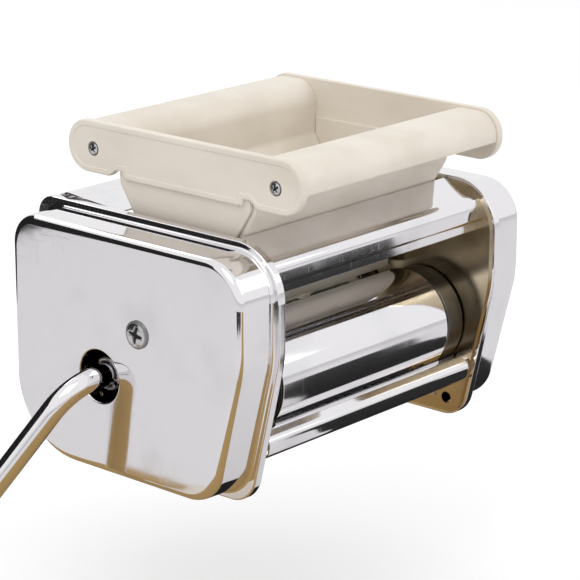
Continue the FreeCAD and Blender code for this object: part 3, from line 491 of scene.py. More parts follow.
def loft(shape, rings, capFirst=False, capLast=False):
    rows = [[shape.verts.new(point) for point in ring] for ring in rings]
    for first, second in zip(rows, rows[1:]):
        for i in range(len(first)):
            j = (i + 1) % len(first)
            shape.faces.new((first[i], first[j], second[j], second[i]))
    if capFirst:
        shape.faces.new(rows[0])
    if capLast:
        shape.faces.new(rows[-1])
    return rows


def fillFlat(shape, *rows):
    edges = []
    for row in rows:
        for i, vert in enumerate(row):
            other = row[(i + 1) % len(row)]
            edge = shape.edges.get((vert, other))
            edges.append(edge or shape.edges.new((vert, other)))
    bmesh.ops.triangle_fill(shape, use_beauty=True, use_dissolve=False, edges=edges)


def sweepAcross(shape, loop, start, end, edge=0.15):
    hold = 0.4  # keeps the flat beside the rounded edge flat
    turn = 1 if areaOf(loop) > 0 else -1
    stations = [(0, 0)]
    if edge:
        stations = [(edge * (1 - math.sin(a)), edge * (1 - math.cos(a))) for a in (1.5708, 1.05, 0.52, 0)]
        stations.append((edge + hold, 0))
    rings = []
    for along, inset in stations:
        moved = offsetPath(loop, turn * inset, True) if inset else loop
        rings.append([spot(start + along, point.x, point.y) for point in moved])
    for along, inset in stations[::-1]:
        moved = offsetPath(loop, turn * inset, True) if inset else loop
        rings.append([spot(end - along, point.x, point.y) for point in moved])
    loft(shape, rings, True, True)


def joinRows(shape, rows, closed=False):  # rows of one length, or single points
    pairs = list(zip(rows, rows[1:]))
    if closed:
        pairs.append((rows[-1], rows[0]))
    for first, second in pairs:
        count = max(len(first), len(second))
        for k in range(count):
            j = (k + 1) % count
            corners = [first[k % len(first)], first[j % len(first)],
                       second[j % len(second)], second[k % len(second)]]
            corners = [c for i, c in enumerate(corners) if c not in corners[:i]]
            if len(corners) > 2:
                shape.faces.new(corners)


def lathe(shape, profile, across, up, segments, closed=False):
    rows = []
    for x, radius in profile:
        if radius < 1e-6:
            rows.append([shape.verts.new(spot(x, across, up))])
            continue
        ring = []
        for angle in turnsOf(segments):
            place = spot(x, across + radius * math.cos(angle), up + radius * math.sin(angle))
            ring.append(shape.verts.new(place))
        rows.append(ring)
    joinRows(shape, rows, closed)


def tube(shape, points, radius, segments):
    side = Vector((0, 0, 1))
    rings = []
    for i, point in enumerate(points):
        way = (points[min(i + 1, len(points) - 1)] - points[max(i - 1, 0)]).normalized()
        side = (side - way * side.dot(way)).normalized()
        other = way.cross(side)
        rings.append([point + (side * math.cos(a) + other * math.sin(a)) * radius / 1000
                      for a in turnsOf(segments)])
    loft(shape, rings, True, True)


def finishPiece(name, shape, finish, nodes, sharp=35):
    if isinstance(shape, bmesh.types.BMesh):
        bmesh.ops.remove_doubles(shape, verts=shape.verts, dist=1e-6)
        bmesh.ops.recalc_face_normals(shape, faces=shape.faces)
        mesh = bpy.data.meshes.new(name)
        shape.to_mesh(mesh)
        shape.free()
    else:
        mesh = shape
    mesh.shade_smooth()
    mesh.set_sharp_from_angle(angle=math.radians(sharp))
    mesh.materials.clear()
    mesh.materials.append(finish)
    piece = linked(name, mesh)
    even = piece.modifiers.new("evenShading", "WEIGHTED_NORMAL")
    even.keep_sharp = True
    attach(piece, bodyOf[nodes[0]])
    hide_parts(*nodes)


# side covers: drawn cups with a rolled rim

coverShape = {
    "back": 78.0,
    "front": -68.3, "rear": 88.0, "top": 126.0, "toe": -50.5, "shoulder": 74.0,
    "rimRadii": (25, 10, 40, 16, 60),
    "cupRadii": (21, 16, 39, 22, 60),
    "innerRadii": (20, 15, 38, 21, 59),
    "rim": 4.5, "step": 3.2, "wall": 0.9, "depth": 26.0, "draft": 0.7,
    "stepRound": 1.4, "faceRound": 3.6, "rimRound": 0.7,
    "hole": 13.0, "lip": 2.6,
}


def arcSpots(middle, radius, start, stop, count):  # (inset, depth) points, angles in degrees
    turns = [math.radians(start + (stop - start) * k / count) for k in range(count + 1)]
    return [(middle[0] + radius * math.cos(a), middle[1] + radius * math.sin(a)) for a in turns]


def coverRing(size, side, inset, depth, kind):
    radii = {
        "rim": [r - inset for r in size["rimRadii"]],
        "cup": [r - inset + size["step"] for r in size["cupRadii"]],
        "inner": [r - inset + size["step"] + size["wall"] for r in size["innerRadii"]],
    }[kind]
    corners = [
        (size["front"] + inset, size["top"] - inset, radii[0]),
        (size["rear"] - inset, size["top"] - inset, radii[1]),
        (size["rear"] - inset, inset, radii[2]),
        (size["toe"] + inset, inset, radii[3]),
        (size["front"] + inset, size["shoulder"], radii[4]),
    ]
    path = roundedPath(corners, True, 14, 0.6)
    return [spot(side * (size["back"] + depth), point.x, point.y) for point in path]


def makeCover(size, side, name):
    shape = bmesh.new()
    taper = size["draft"] / size["depth"]
    low = size["depth"] - size["faceRound"]
    outer = size["step"] + taper * low
    inner = outer + size["wall"]
    innerRound = size["faceRound"] - size["wall"]
    step = size["stepRound"]
    edge = size["rimRound"]
    rows = [(inner + innerRound + 0.6, size["depth"] - size["wall"], "inner")]
    rows += [(i, d, "inner") for i, d in arcSpots((inner + innerRound, low), innerRound, 90, 180, 8)]
    rows += [(inner - taper, low - 1, "inner"), (size["step"] + size["wall"], 0.6, "inner"),
             (size["step"] + size["wall"], 0, "inner"), (size["step"] + size["wall"] - 0.4, 0, "rim"),
             (0.8, 0, "rim")]
    rows += [(i, d, "rim") for i, d in arcSpots((0.3, 0.3), 0.3, -90, -180, 4)]
    rows += [(0, 0.8, "rim"), (0, size["rim"] - edge - 0.4, "rim")]
    rows += [(i, d, "rim") for i, d in arcSpots((edge, size["rim"] - edge), edge, 180, 90, 6)]
    rows += [(i, d, "cup") for i, d in arcSpots((size["step"] - step, size["rim"] + step), step, -90, 0, 8)]
    rows += [(size["step"] + taper * (size["rim"] + step + 0.6), size["rim"] + step + 0.6, "cup"),
             (outer - taper * 0.8, low - 0.8, "cup")]
    rows += [(i, d, "cup")
             for i, d in arcSpots((outer + size["faceRound"], low), size["faceRound"], 180, 90, 12)]
    rows += [(outer + size["faceRound"] + 0.8, size["depth"], "cup")]
    rings = loft(shape, [coverRing(size, side, *row) for row in rows])
    faces = [rings[-1]]
    backs = [rings[0]]
    if side < 0:  # the crank's hole, its edge turned in
        mouth = 0.8 * size["wall"]
        deep = size["depth"] - size["wall"] - size["lip"]
        wide = size["hole"]
        section = [(wide + mouth + 0.5, size["depth"])]
        section += arcSpots((wide + mouth, size["depth"] - mouth), mouth, 90, 180, 6)
        section += [(wide, deep + 0.3), (wide + 0.3, deep), (wide + 0.6, deep),
                    (wide + size["wall"], deep + 0.3),
                    (wide + size["wall"], size["depth"] - size["wall"] - 0.3),
                    (wide + size["wall"] + 0.3, size["depth"] - size["wall"])]
        turns = turnsOf(72)
        hole = loft(shape, [[spot(side * (size["back"] + d), places["rollerAcross"] + r * math.cos(a),
                                  places["rollerUp"] + r * math.sin(a)) for a in turns] for r, d in section])
        faces.append(hole[0])
        backs.append(hole[-1])
    fillFlat(shape, *faces)
    fillFlat(shape, *backs)
    finishPiece(name + "_cover", shape, coverChrome, [name + "_side_cover"])


makeCover(coverShape, -1, "left")
makeCover(coverShape, 1, "right")
print("side covers made")


# folded sheet: top plates, rails and guards

sheetShape = {
    "sheet": 0.8,
    "bay": 76.5,
    "rail": 75.0,
    "front_top_plate": [(36.8, 124.6), (51.5, 119.6, 9), (59.5, 117.0, 6.5), (59.5, 106.9, 1.2),
                        (58.2, 105.9, 1.2), (58.2, 101.5)],
    "rear_top_plate": [(36.8, 124.6), (73.5, 127.8, 9), (81.5, 125.2, 6.5), (81.5, 113.9, 1.2),
                       (80.2, 112.9, 1.2), (80.2, 108.5)],
    "rail_path": [(48.6, 35.2), (51.1, 34.6, 4), (56.4, 31.0, 4), (55.0, 22.5, 4.5), (49.5, 20.5)],
    "flange_path": [(48.6, 35.2), (51.1, 34.6, 4), (53.75, 32.8)],
    "front_ear": [(37.8, 123.8), (43.6, 121.8), (43.6, 114.0), (37.8, 114.0)],
    "rear_ear": [(37.8, 124.2), (43.6, 124.7), (43.6, 117.8), (37.8, 117.8)],
    "rail_ear": [(49.0, 34.4), (54.8, 32.4), (54.8, 27.4), (49.0, 27.4)],
}


def sided(corners, way):
    return [(corner[0] * way, *corner[1:]) for corner in corners]


def addEars(shape, size, way, corners):
    loop = [Vector(corner) for corner in sided(corners, way)]
    for side in (-1, 1):
        ends = sorted((side * (size["bay"] - size["sheet"]), side * size["bay"]))
        sweepAcross(shape, loop, *ends, 0.1)


def makeSheets(size):
    thick = size["sheet"]
    for way, end in ((-1, "front"), (1, "rear")):
        sides = (0, thick) if way > 0 else (thick, 0)
        plate = bmesh.new()
        section = sheetLoop(roundedPath(sided(size[end + "_top_plate"], way)), *sides)
        sweepAcross(plate, section, -size["bay"], size["bay"])
        addEars(plate, size, way, size[end + "_ear"])
        finishPiece(end + "_top", plate, sheetChrome, [end + "_top_plate"])
        rail = bmesh.new()
        section = sheetLoop(roundedPath(sided(size["rail_path"], way)), *sides)
        sweepAcross(rail, section, -size["rail"], size["rail"])
        for side in (-1, 1):
            ends = sorted((side * size["rail"], side * size["bay"]))
            section = sheetLoop(roundedPath(sided(size["flange_path"], way)), *sides)
            sweepAcross(rail, section, *ends, 0.05)
        addEars(rail, size, way, size["rail_ear"])
        finishPiece(end + "_rail", rail, sheetChrome, [end + "_bottom_rail"])


guardShape = {
    "half": 61.5, "radius": 26.3, "sheet": 0.6, "top": 112.0, "bottom": -60.0,
    "hem": 3.4, "wrap": 230.0,
    "arcSteps": 72, "hemSteps": 30,
}


def makeGuard(size, way, name):
    low = math.radians(size["bottom"])
    reach = size["radius"] + size["hem"]
    rod = Vector((reach * math.cos(low), reach * math.sin(low)))
    path = []
    for k in range(size["arcSteps"] + 1):
        a = math.radians(size["top"] + (size["bottom"] - size["top"]) * k / size["arcSteps"])
        path.append(Vector((math.cos(a), math.sin(a))) * size["radius"])
    for k in range(1, size["hemSteps"] + 1):
        a = low + math.pi + math.radians(size["wrap"]) * k / size["hemSteps"]
        path.append(rod + Vector((math.cos(a), math.sin(a))) * size["hem"])
    path = [Vector((way * (places["rollerAcross"] + point.x), places["rollerUp"] + point.y))
            for point in path]
    shape = bmesh.new()
    section = sheetLoop(path, size["sheet"] / 2, size["sheet"] / 2)
    sweepAcross(shape, section, -size["half"], size["half"], 0.12)
    finishPiece(name + "_guard", shape, sheetChrome, [name + "_roller_guard"])


makeSheets(sheetShape)
makeGuard(guardShape, -1, "front")
makeGuard(guardShape, 1, "rear")
print("folded sheet made")


# hubs beside the mould

hubShape = {"inner": 63.8, "outer": 75.6, "radius": 25.5, "bore": 5.0, "edge": 0.6}


def makeHubs(size, way, name, finish):
    shape = bmesh.new()
    for side in (-1, 1):
        corners = [(size["inner"], size["bore"]), (size["inner"], size["radius"], size["edge"]),
                   (size["outer"], size["radius"], size["edge"]), (size["outer"], size["bore"])]
        profile = [(side * point.x, point.y) for point in roundedPath(corners, True, 4)]
        lathe(shape, profile, way * places["rollerAcross"], places["rollerUp"], 120, True)
    finishPiece(name + "_hubs", shape, finish, [name + "_roller_hubs"])


makeHubs(hubShape, -1, "front", frontTurned)
makeHubs(hubShape, 1, "rear", rearTurned)


# hopper: two lobed ends and two long walls

hopperShape = {
    "end": (70.0, 74.0), "edge": 0.9,
    "outline": [(74.8, 164.8, 12.6), (74.8, 139.4, 12.6), (47.6, 139.4, 2.5), (43.1, 142.9, 2),
                (38.6, 142.9, 0.6), (37.6, 139.4, 0.8)],
    "panel": [(72.2, 162.2, 10), (72.2, 142.0, 10), (47.6, 142.0, 2.5), (43.1, 145.5, 2),
              (36.0, 145.5, 0.6), (35.0, 142.0, 0.8)],
    "panelDeep": 0.5,
    "screwAcross": 58.2, "screwUp": 151.1, "sink": 3.6, "sinkDeep": 1.6,
    "funnel": [(41.3, 145.4), (41.3, 137.0, 5), (4.7, 80.0), (4.7, 74)],
    "funnelWall": (68.8, 71.8),
    "wall": [(5, 74), (5, 80, 8), (41.6, 137, 5), (41.6, 163.8, 11.6), (73.8, 163.8, 11.6), (73.8, 149.1)],
    "thick": 2.2, "half": 70.0,
    "boss": 4.0, "bossLong": 14.0, "ribHalf": 1.0, "ribTop": 163.0,
}


def bothSides(corners):
    return sided(corners, -1) + corners[::-1]


def makeHopperEnd(size, side, name):
    shape = bmesh.new()
    start, end = size["end"]
    outline = tidyPath(roundedPath(bothSides(size["outline"]), True), True)
    turn = 1 if areaOf(outline) > 0 else -1
    edge = size["edge"]

    def ring(loop, x):
        return [spot(side * x, point.x, point.y) for point in loop]

    rings = [ring(offsetPath(outline, turn * 0.2, True), start),
             ring(outline, start + 0.2), ring(outline, end - edge - 0.3)]
    for inset, depth in arcSpots((edge, edge), edge, 180, 270, 6):
        rings.append(ring(offsetPath(outline, turn * inset, True), end - depth))
    rings.append(ring(offsetPath(outline, turn * (edge + 0.3), True), end))
    rows = loft(shape, rings, True)
    panel = roundedPath(bothSides(size["panel"]), True, 12, 0.5)
    turn = 1 if areaOf(panel) > 0 else -1
    deep = size["panelDeep"]
    step = [(0.3, 0), (0, 0.02), (-0.14, deep * 0.3), (-0.3, deep * 0.8), (-0.5, deep), (-0.9, deep)]
    sunk = loft(shape, [ring(offsetPath(panel, -turn * out, True), end - d) for out, d in step])
    fillFlat(shape, rows[-1], sunk[0])
    floors = [sunk[-1]]
    for way in (-1, 1):
        turns = turnsOf(48)
        section = [(size["sink"] + 0.5, deep), (size["sink"] + 0.25, deep),
                   (size["sink"] + 0.06, deep + 0.08),
                   (size["sink"], deep + 0.3), (size["sink"], size["sinkDeep"])]
        well = [[spot(side * (end - d), way * size["screwAcross"] + r * math.cos(a),
                      size["screwUp"] + r * math.sin(a)) for a in turns] for r, d in section]
        floors.append(loft(shape, well, False, True)[0])
    fillFlat(shape, *floors)
    funnel = roundedPath(bothSides(size["funnel"]), True)
    ends = sorted((side * size["funnelWall"][0], side * size["funnelWall"][1]))
    sweepAcross(shape, tidyPath(funnel, True), *ends, 0.4)
    finishPiece(name + "_hopper_plate", shape, ivoryPlastic, [name + "_hopper_end"])


def makeHopperWall(size, way, name):
    shape = bmesh.new()
    sides = (size["thick"], 0) if way > 0 else (0, size["thick"])
    path = roundedPath(sided(size["wall"], way))
    sweepAcross(shape, sheetLoop(path, *sides[::-1]), -size["half"], size["half"], 0.25)
    for side in (-1, 1):
        inner, outer = size["half"] - size["bossLong"], size["half"]
        profile = [(side * inner, 0), (side * inner, size["boss"] - 0.4),
                   (side * (inner + 0.4), size["boss"]),
                   (side * outer, size["boss"]), (side * outer, 0)]
        lathe(shape, profile, way * size["screwAcross"], size["screwUp"], 32)
        ends = sorted((side * inner, side * outer))
        thin = size["ribHalf"]
        rib = [Vector((way * size["screwAcross"] + a, b)) for a, b in
               ((-thin, size["screwUp"]), (thin, size["screwUp"]),
                (thin, size["ribTop"]), (-thin, size["ribTop"]))]
        sweepAcross(shape, rib, *ends, 0.2)
    finishPiece(name + "_hopper_side", shape, ivoryPlastic, [name + "_hopper_wall"])


for sideNumber, sideName in ((-1, "left"), (1, "right")):
    makeHopperEnd(hopperShape, sideNumber, sideName)
for wayNumber, wayName in ((-1, "front"), (1, "rear")):
    makeHopperWall(hopperShape, wayNumber, wayName)
print("hopper made")


# crank and grip

crankShape = {
    "line": [(-88.5, 0), (-122.0, 0, 24), (-180.5, 150, 13), (-197.5, 150)],
    "angle": 120.5,
    "radius": 5.6, "spindle": 4.0, "spindleEnd": -257.9,
    "grip": [(-197.9, 4.12), (-197.9, 8.0, 1.2), (-205.9, 8.6, 14), (-227.9, 10.5, 60), (-251.5, 11.6, 16),
             (-257.5, 9.0, 1), (-257.5, 7.2), (-254.5, 7.2), (-254.5, 4.12)],
}


def onArm(size, along, out):
    angle = math.radians(size["angle"])
    across = places["rollerAcross"] - out * math.cos(angle)
    return spot(along, across, places["rollerUp"] - out * math.sin(angle))


def makeCrank(size):
    shape = bmesh.new()
    path = roundedPath(size["line"], False, 30, 0.5)
    path.insert(1, path[0] + (path[1] - path[0]) * 0.5)
    tube(shape, [onArm(size, point.x, point.y) for point in tidyPath(path, False)], size["radius"], 56)
    end = size["line"][-1]
    angle = math.radians(size["angle"])
    grip = (places["rollerAcross"] - end[1] * math.cos(angle),
            places["rollerUp"] - end[1] * math.sin(angle))
    lathe(shape, [(end[0] + 1, 0), (end[0] + 1, size["spindle"]), (size["spindleEnd"], size["spindle"]),
                  (size["spindleEnd"], 0)], *grip, 48)
    finishPiece("crank_arm", shape, rodChrome, ["crank_rod"])
    handle = bmesh.new()
    profile = [(point.x, point.y) for point in tidyPath(roundedPath(size["grip"], True, 10), True)]
    lathe(handle, profile, *grip, 112, True)
    finishPiece("crank_grip", handle, ivoryPlastic, ["grip"])


makeCrank(crankShape)
print("crank made")


# geometry nodes: fixings repeated on spots, and the pocketed rollers

def newTree(name, inputs):
    tree = bpy.data.node_groups.new(name, "GeometryNodeTree")
    tree.interface.new_socket("Geometry", in_out="INPUT", socket_type="NodeSocketGeometry")
    for label, kind in inputs.items():
        tree.interface.new_socket(label, in_out="INPUT", socket_type="NodeSocket" + kind)
    tree.interface.new_socket("Geometry", in_out="OUTPUT", socket_type="NodeSocketGeometry")
    board = Board(tree)
    return board, board.node("NodeGroupInput")


def endTree(board, geometry, finish):
    real = board.node("GeometryNodeRealizeInstances", None, {0: geometry})
    painted = board.node("GeometryNodeSetMaterial", None, {"Geometry": real, "Material": finish})
    end = board.tree.nodes.new("NodeGroupOutput")
    board.tree.links.new(painted.socket, end.inputs[0])
    return board.tree


def grown(name, mesh, tree, values):
    piece = linked(name + "_seed", mesh)
    grower = piece.modifiers.new("grower", "NODES")
    grower.node_group = tree
    for item in tree.interface.items_tree:
        if item.in_out == "INPUT" and item.name in values:
            grower[item.identifier] = values[item.name]
    bpy.context.view_layer.update()
    result = bpy.data.meshes.new_from_object(piece.evaluated_get(bpy.context.evaluated_depsgraph_get()))
    piece.modifiers.remove(grower)
    bpy.data.objects.remove(piece)
    result.name = name
    return result


def fixingsTree():
    board, start = newTree("fixingsOnSpots", {"Spots": "Object", "Size": "Float", "Turn Spread": "Float",
                                              "Seed": "Int", "Finish": "Material"})
    spots = board.node("GeometryNodeObjectInfo", None, {"Object": start.out("Spots")}, "Geometry")
    facing = board.node("GeometryNodeInputNamedAttribute", {"data_type": "FLOAT_VECTOR"}, {"Name": "facing"})
    aligned = board.node("FunctionNodeAlignRotationToVector", {"axis": "X"}, {"Vector": facing})
    spread = start.out("Turn Spread")
    twist = board.node("FunctionNodeRandomValue", {"data_type": "FLOAT"},
                       {2: 0 - spread, 3: spread, "Seed": start.out("Seed")}, 1)
    spin = board.node("FunctionNodeAxisAngleToRotation", None, {"Axis": (1, 0, 0), "Angle": twist})
    turned = board.node("FunctionNodeRotateRotation", {"rotation_space": "LOCAL"},
                        {"Rotation": aligned, "Rotate By": spin})
    placed = board.node("GeometryNodeInstanceOnPoints", None,
                        {"Points": spots, "Instance": start.out("Geometry"), "Rotation": turned,
                         "Scale": start.out("Size")})
    return endTree(board, placed, start.out("Finish"))


def crossHead(radius, rise, rim, arm, deep, ring):  # a domed head along +X, with a cross recess
    shape = bmesh.new()
    # the sunk mark carries painted shade: dark in the cross recess, and a painted shadow ring on the head's
    # outer edge
    sunk = shape.verts.layers.float.new("sunk")
    segments, circles = 96, 30
    rows = []
    for c in range(circles + 1):
        r = radius * c / circles
        row = []
        for a in turnsOf(segments if c else 1):
            y, z = r * math.cos(a), r * math.sin(a)
            high = rise * (1 - (1 - rim) * (c / circles) ** 2.6)
            near, far = min(abs(y), abs(z)), max(abs(y), abs(z))
            blade = 0.145 * radius * (1.25 - 0.5 * far / arm)
            cut = max(0.0, min(1.0, (blade + 0.09 - near) / 0.18))
            cut *= max(0.0, min(1.0, (arm + 0.1 - far) / 0.2))
            vert = shape.verts.new((Vector((high - cut * deep * (1 - 0.45 * far / arm), y, z))) / 1000)
            # painted shade over the cross recess, and a painted shadow ring over the outer part of the dome
            vert[sunk] = max(cut, ring * max(0.0, min(1.0, (r / radius - 0.8) / 0.08)))
            row.append(vert)
        rows.append(row)
    for x, r in ((rise * rim * 0.5, radius), (0.0, radius), (0.0, 0.0)):
        row = []
        for a in turnsOf(segments if r else 1):
            vert = shape.verts.new(Vector((x, r * math.cos(a), r * math.sin(a))) / 1000)
            # the head's side and underside carry the painted shadow ring at full strength
            vert[sunk] = ring
            row.append(vert)
        rows.append(row)
    joinRows(shape, rows)
    return meshOf(shape, "head")


def meshOf(shape, name):
    bmesh.ops.recalc_face_normals(shape, faces=shape.faces)
    mesh = bpy.data.meshes.new(name)
    shape.to_mesh(mesh)
    shape.free()
    return mesh


def turnedHead(profile, segments=32):  # along +X
    shape = bmesh.new()
    rows = []
    for x, radius in profile:
        row = []
        for a in turnsOf(segments if radius else 1):
            row.append(shape.verts.new(Vector((x, radius * math.cos(a), radius * math.sin(a))) / 1000))
        rows.append(row)
    joinRows(shape, rows)
    return meshOf(shape, "turned_head")


def spotsObject(spots):
    mesh = bpy.data.meshes.new("spots")
    mesh.from_pydata([spot(*place[:3]) for place in spots], [], [])
    facing = mesh.attributes.new("facing", "FLOAT_VECTOR", "POINT")
    facing.data.foreach_set("vector", [value for place in spots for value in (place[3], 0.0, 0.0)])
    return linked("spots", mesh)


fixingsShape = {
    # ring: how dark the painted shadow round each head's outer edge is
    "hopperScrew": {"radius": 3.2, "rise": 1.4, "rim": 0.45, "arm": 2.0, "deep": 0.9, "ring": 0.85},
    "coverScrew": {"radius": 6.8, "rise": 1.8, "rim": 0.4, "arm": 4.2, "deep": 1.2, "ring": 0.6},
    "rivet": [(0, 2.3), (0.45, 2.3), (0.75, 2.1), (0.95, 1.6), (1.0, 0.8), (1.0, 0)],
    "hopperScrewSpot": (72.4, 58.2, 151.1),   # to the side, across and up
    "coverScrewSpot": (104.0, 0, 77.7),
    "rivetSide": 75.7,
    "rivetSpots": [(-1, 40.7, 116.9), (-1, 51.9, 30.3), (-1, 31.1, 12.0),    # which end, across and up
                   (1, 40.7, 120.7), (1, 51.9, 30.3), (1, 31.1, 12.0)],
    "hopperTwist": 1.4,   # how far a screw may be turned, in radians
    "coverTwist": 0.35,
}


def makeFixings(size, tree):
    def place(name, head, spots, nodes, finish, twist, seed, sharp=35):
        marks = spotsObject(spots)
        mesh = grown(name, head, tree, {"Spots": marks, "Size": 1.0, "Turn Spread": twist, "Seed": seed,
                                        "Finish": finish})
        bpy.data.objects.remove(marks)
        finishPiece(name, mesh, finish, nodes, sharp)

    out, across, up = size["hopperScrewSpot"]
    place("hopper_screw_heads", crossHead(**size["hopperScrew"]),
          [(side * out, way * across, up, side) for side in (-1, 1) for way in (-1, 1)],
          ["hopper_screws"], screwPlate, size["hopperTwist"], 4, 50)
    out, across, up = size["coverScrewSpot"]
    for side, end in ((-1, "left"), (1, "right")):
        place(end + "_cover_screw_head", crossHead(**size["coverScrew"]), [(side * out, across, up, side)],
              [end + "_cover_screw"], screwPlate, size["coverTwist"], 3 + side, 50)
    rivets = [(side * size["rivetSide"], way * across, up, -side)
              for side in (-1, 1) for way, across, up in size["rivetSpots"]]
    place("plate_rivet_heads", turnedHead(size["rivet"]), rivets, ["plate_rivets"], zincSteel, 0.0, 1)


fixings = fixingsTree()
makeFixings(fixingsShape, fixings)
print("fixings placed")


# mould rollers: a grid wrapped round the axis, in metres, with pockets and toothed ridges pressed in

rollerGrid = {"Stations": 245, "Turns": 241}
rollerShape = {
    "Radius": 0.0255, "Half Length": 0.062, "Bore": 0.005,
    "Pitch": 0.0395, "Columns Out": 1.0, "Rows": 4.0,
    "Half Long": 0.017, "Half Wide": 0.016, "Corner": 0.004, "Depth": 0.0055,
    "Edge": 0.0007, "Tooth Pitch": 0.0032, "Tooth Deep": 0.00022,
}


def rollerTree(size):
    floats = {name: "Float" for name in size}
    board, start = newTree("mouldRoller", {**floats, "Stations": "Int", "Turns": "Int", "Across": "Float",
                                           "Up": "Float", "Finish": "Material"})
    value = start.out
    stations, turns = value("Stations"), value("Turns")
    grid = board.node("GeometryNodeMeshGrid", None, {"Size X": 1.0, "Size Y": 1.0, "Vertices X": stations,
                                                     "Vertices Y": turns}, "Mesh")
    place = board.node("ShaderNodeSeparateXYZ", None, {0: board.node("GeometryNodeInputPosition")})
    last = stations - 1
    step = ((place.out("X") + 0.5) * last).apply("ROUND")
    angle = (place.out("Y") + 0.5) * (2 * math.pi)
    along = ((step - 2) / (last - 4)).apply("MAXIMUM", 0.0).apply("MINIMUM", 1.0)
    x = (along * 2 - 1) * value("Half Length")
    inside = (step - last / 2).apply("ABSOLUTE")
    # the outer two stations make the end faces and the bore
    onSkin = inside.apply("LESS_THAN", last / 2 - 1.5)
    middle = inside.apply("GREATER_THAN", last / 2 - 0.5)
    share = 2 * math.pi / value("Rows")
    turn = angle - share * (angle / share).apply("ROUND")
    column = (x / value("Pitch")).apply("ROUND").apply("MINIMUM", value("Columns Out"))
    column = column.apply("MAXIMUM", 0 - value("Columns Out"))
    u = (x - column * value("Pitch")).apply("ABSOLUTE")
    v = (turn.apply("SINE") * value("Radius")).apply("ABSOLUTE")
    outU = u - value("Half Long") + value("Corner")
    outV = v - value("Half Wide") + value("Corner")
    clampU, clampV = outU.apply("MAXIMUM", 0.0), outV.apply("MAXIMUM", 0.0)
    outside = (clampU * clampU + clampV * clampV).apply("SQRT")
    far = outside + outU.apply("MAXIMUM", outV).apply("MINIMUM", 0.0) - value("Corner")
    pocket = far.step(0.0, 0 - value("Edge"), 0.0, 1.0)
    floor = ((value("Radius") - value("Depth")) / turn.apply("COSINE")).apply("MINIMUM", value("Radius"))
    ridge = far.step(0.0004, 0.0009) * (1 - far.step(0.0019, 0.0024))
    wave = (x + angle * value("Radius")) * (2 * math.pi) / value("Tooth Pitch")
    tooth = wave.apply("SINE").step(-0.2, 0.6)
    radius = value("Radius") * (1 - pocket) + floor * pocket - ridge * tooth * value("Tooth Deep")
    radius = radius * onSkin + value("Bore") * (1 - onSkin)
    x = x * (1 - middle)
    sideways = value("Across") + radius * angle.apply("SINE")
    upwards = value("Up") + radius * angle.apply("COSINE")
    moved = board.node("ShaderNodeCombineXYZ", None, {0: x, 1: sideways, 2: upwards})
    wrapped = board.node("GeometryNodeSetPosition", None, {"Geometry": grid, "Position": moved})
    merged = board.node("GeometryNodeMergeByDistance", None, {"Geometry": wrapped, "Distance": 0.000005})
    return endTree(board, merged, value("Finish"))


def makeRollers(size, grid):
    tree = rollerTree(size)
    for way, name in ((-1, "front"), (1, "rear")):
        values = {**size, **grid, "Across": (way * places["rollerAcross"] - places["back"]) / 1000,
                  "Up": (places["rollerUp"] - places["height"]) / 1000, "Finish": mouldMetal}
        mesh = grown(name + "_mould", bpy.data.meshes.new("seed"), tree, values)
        shape = bmesh.new()
        shape.from_mesh(mesh)
        finishPiece(name + "_mould", shape, mouldMetal, [name + "_mould_roller"], 40)


makeRollers(rollerShape, rollerGrid)
print("mould rollers made")


# the other nodes keep their shape, merged and smoothed

keptNodes = {
    "left_frame_plate": framePlate, "right_frame_plate": framePlate,
    "front_scraper": springSteel, "rear_scraper": springSteel,
    "axle_bushes": bushBronze, "tie_rods": zincSteel, "tie_rod_nuts": zincSteel, "hang_pins": zincSteel,
    "rest_pins": zincSteel, "cover_studs": zincSteel,
    "front_spacer_collars": collarPlastic, "rear_spacer_collars": collarPlastic,
    "drive_axle": driveSteel, "front_axle": driveSteel, "crank_socket": driveSteel, "socket_pin": driveSteel,
    "drive_gear": driveSteel, "driven_gear": driveSteel, "rear_axle_clip": driveSteel,
    "front_axle_clips": driveSteel, "crank_pin": driveSteel, "grip_cap": rodChrome,
}


def smoothNodes(kept):
    for node, finish in kept.items():
        shape = bmesh.new()
        shape.from_mesh(frame["nodes"][node].data)
        finishPiece(node + "_smooth", shape, finish, [node], 30)


smoothNodes(keptNodes)
print("kept nodes finished")


# floor, world and lamps

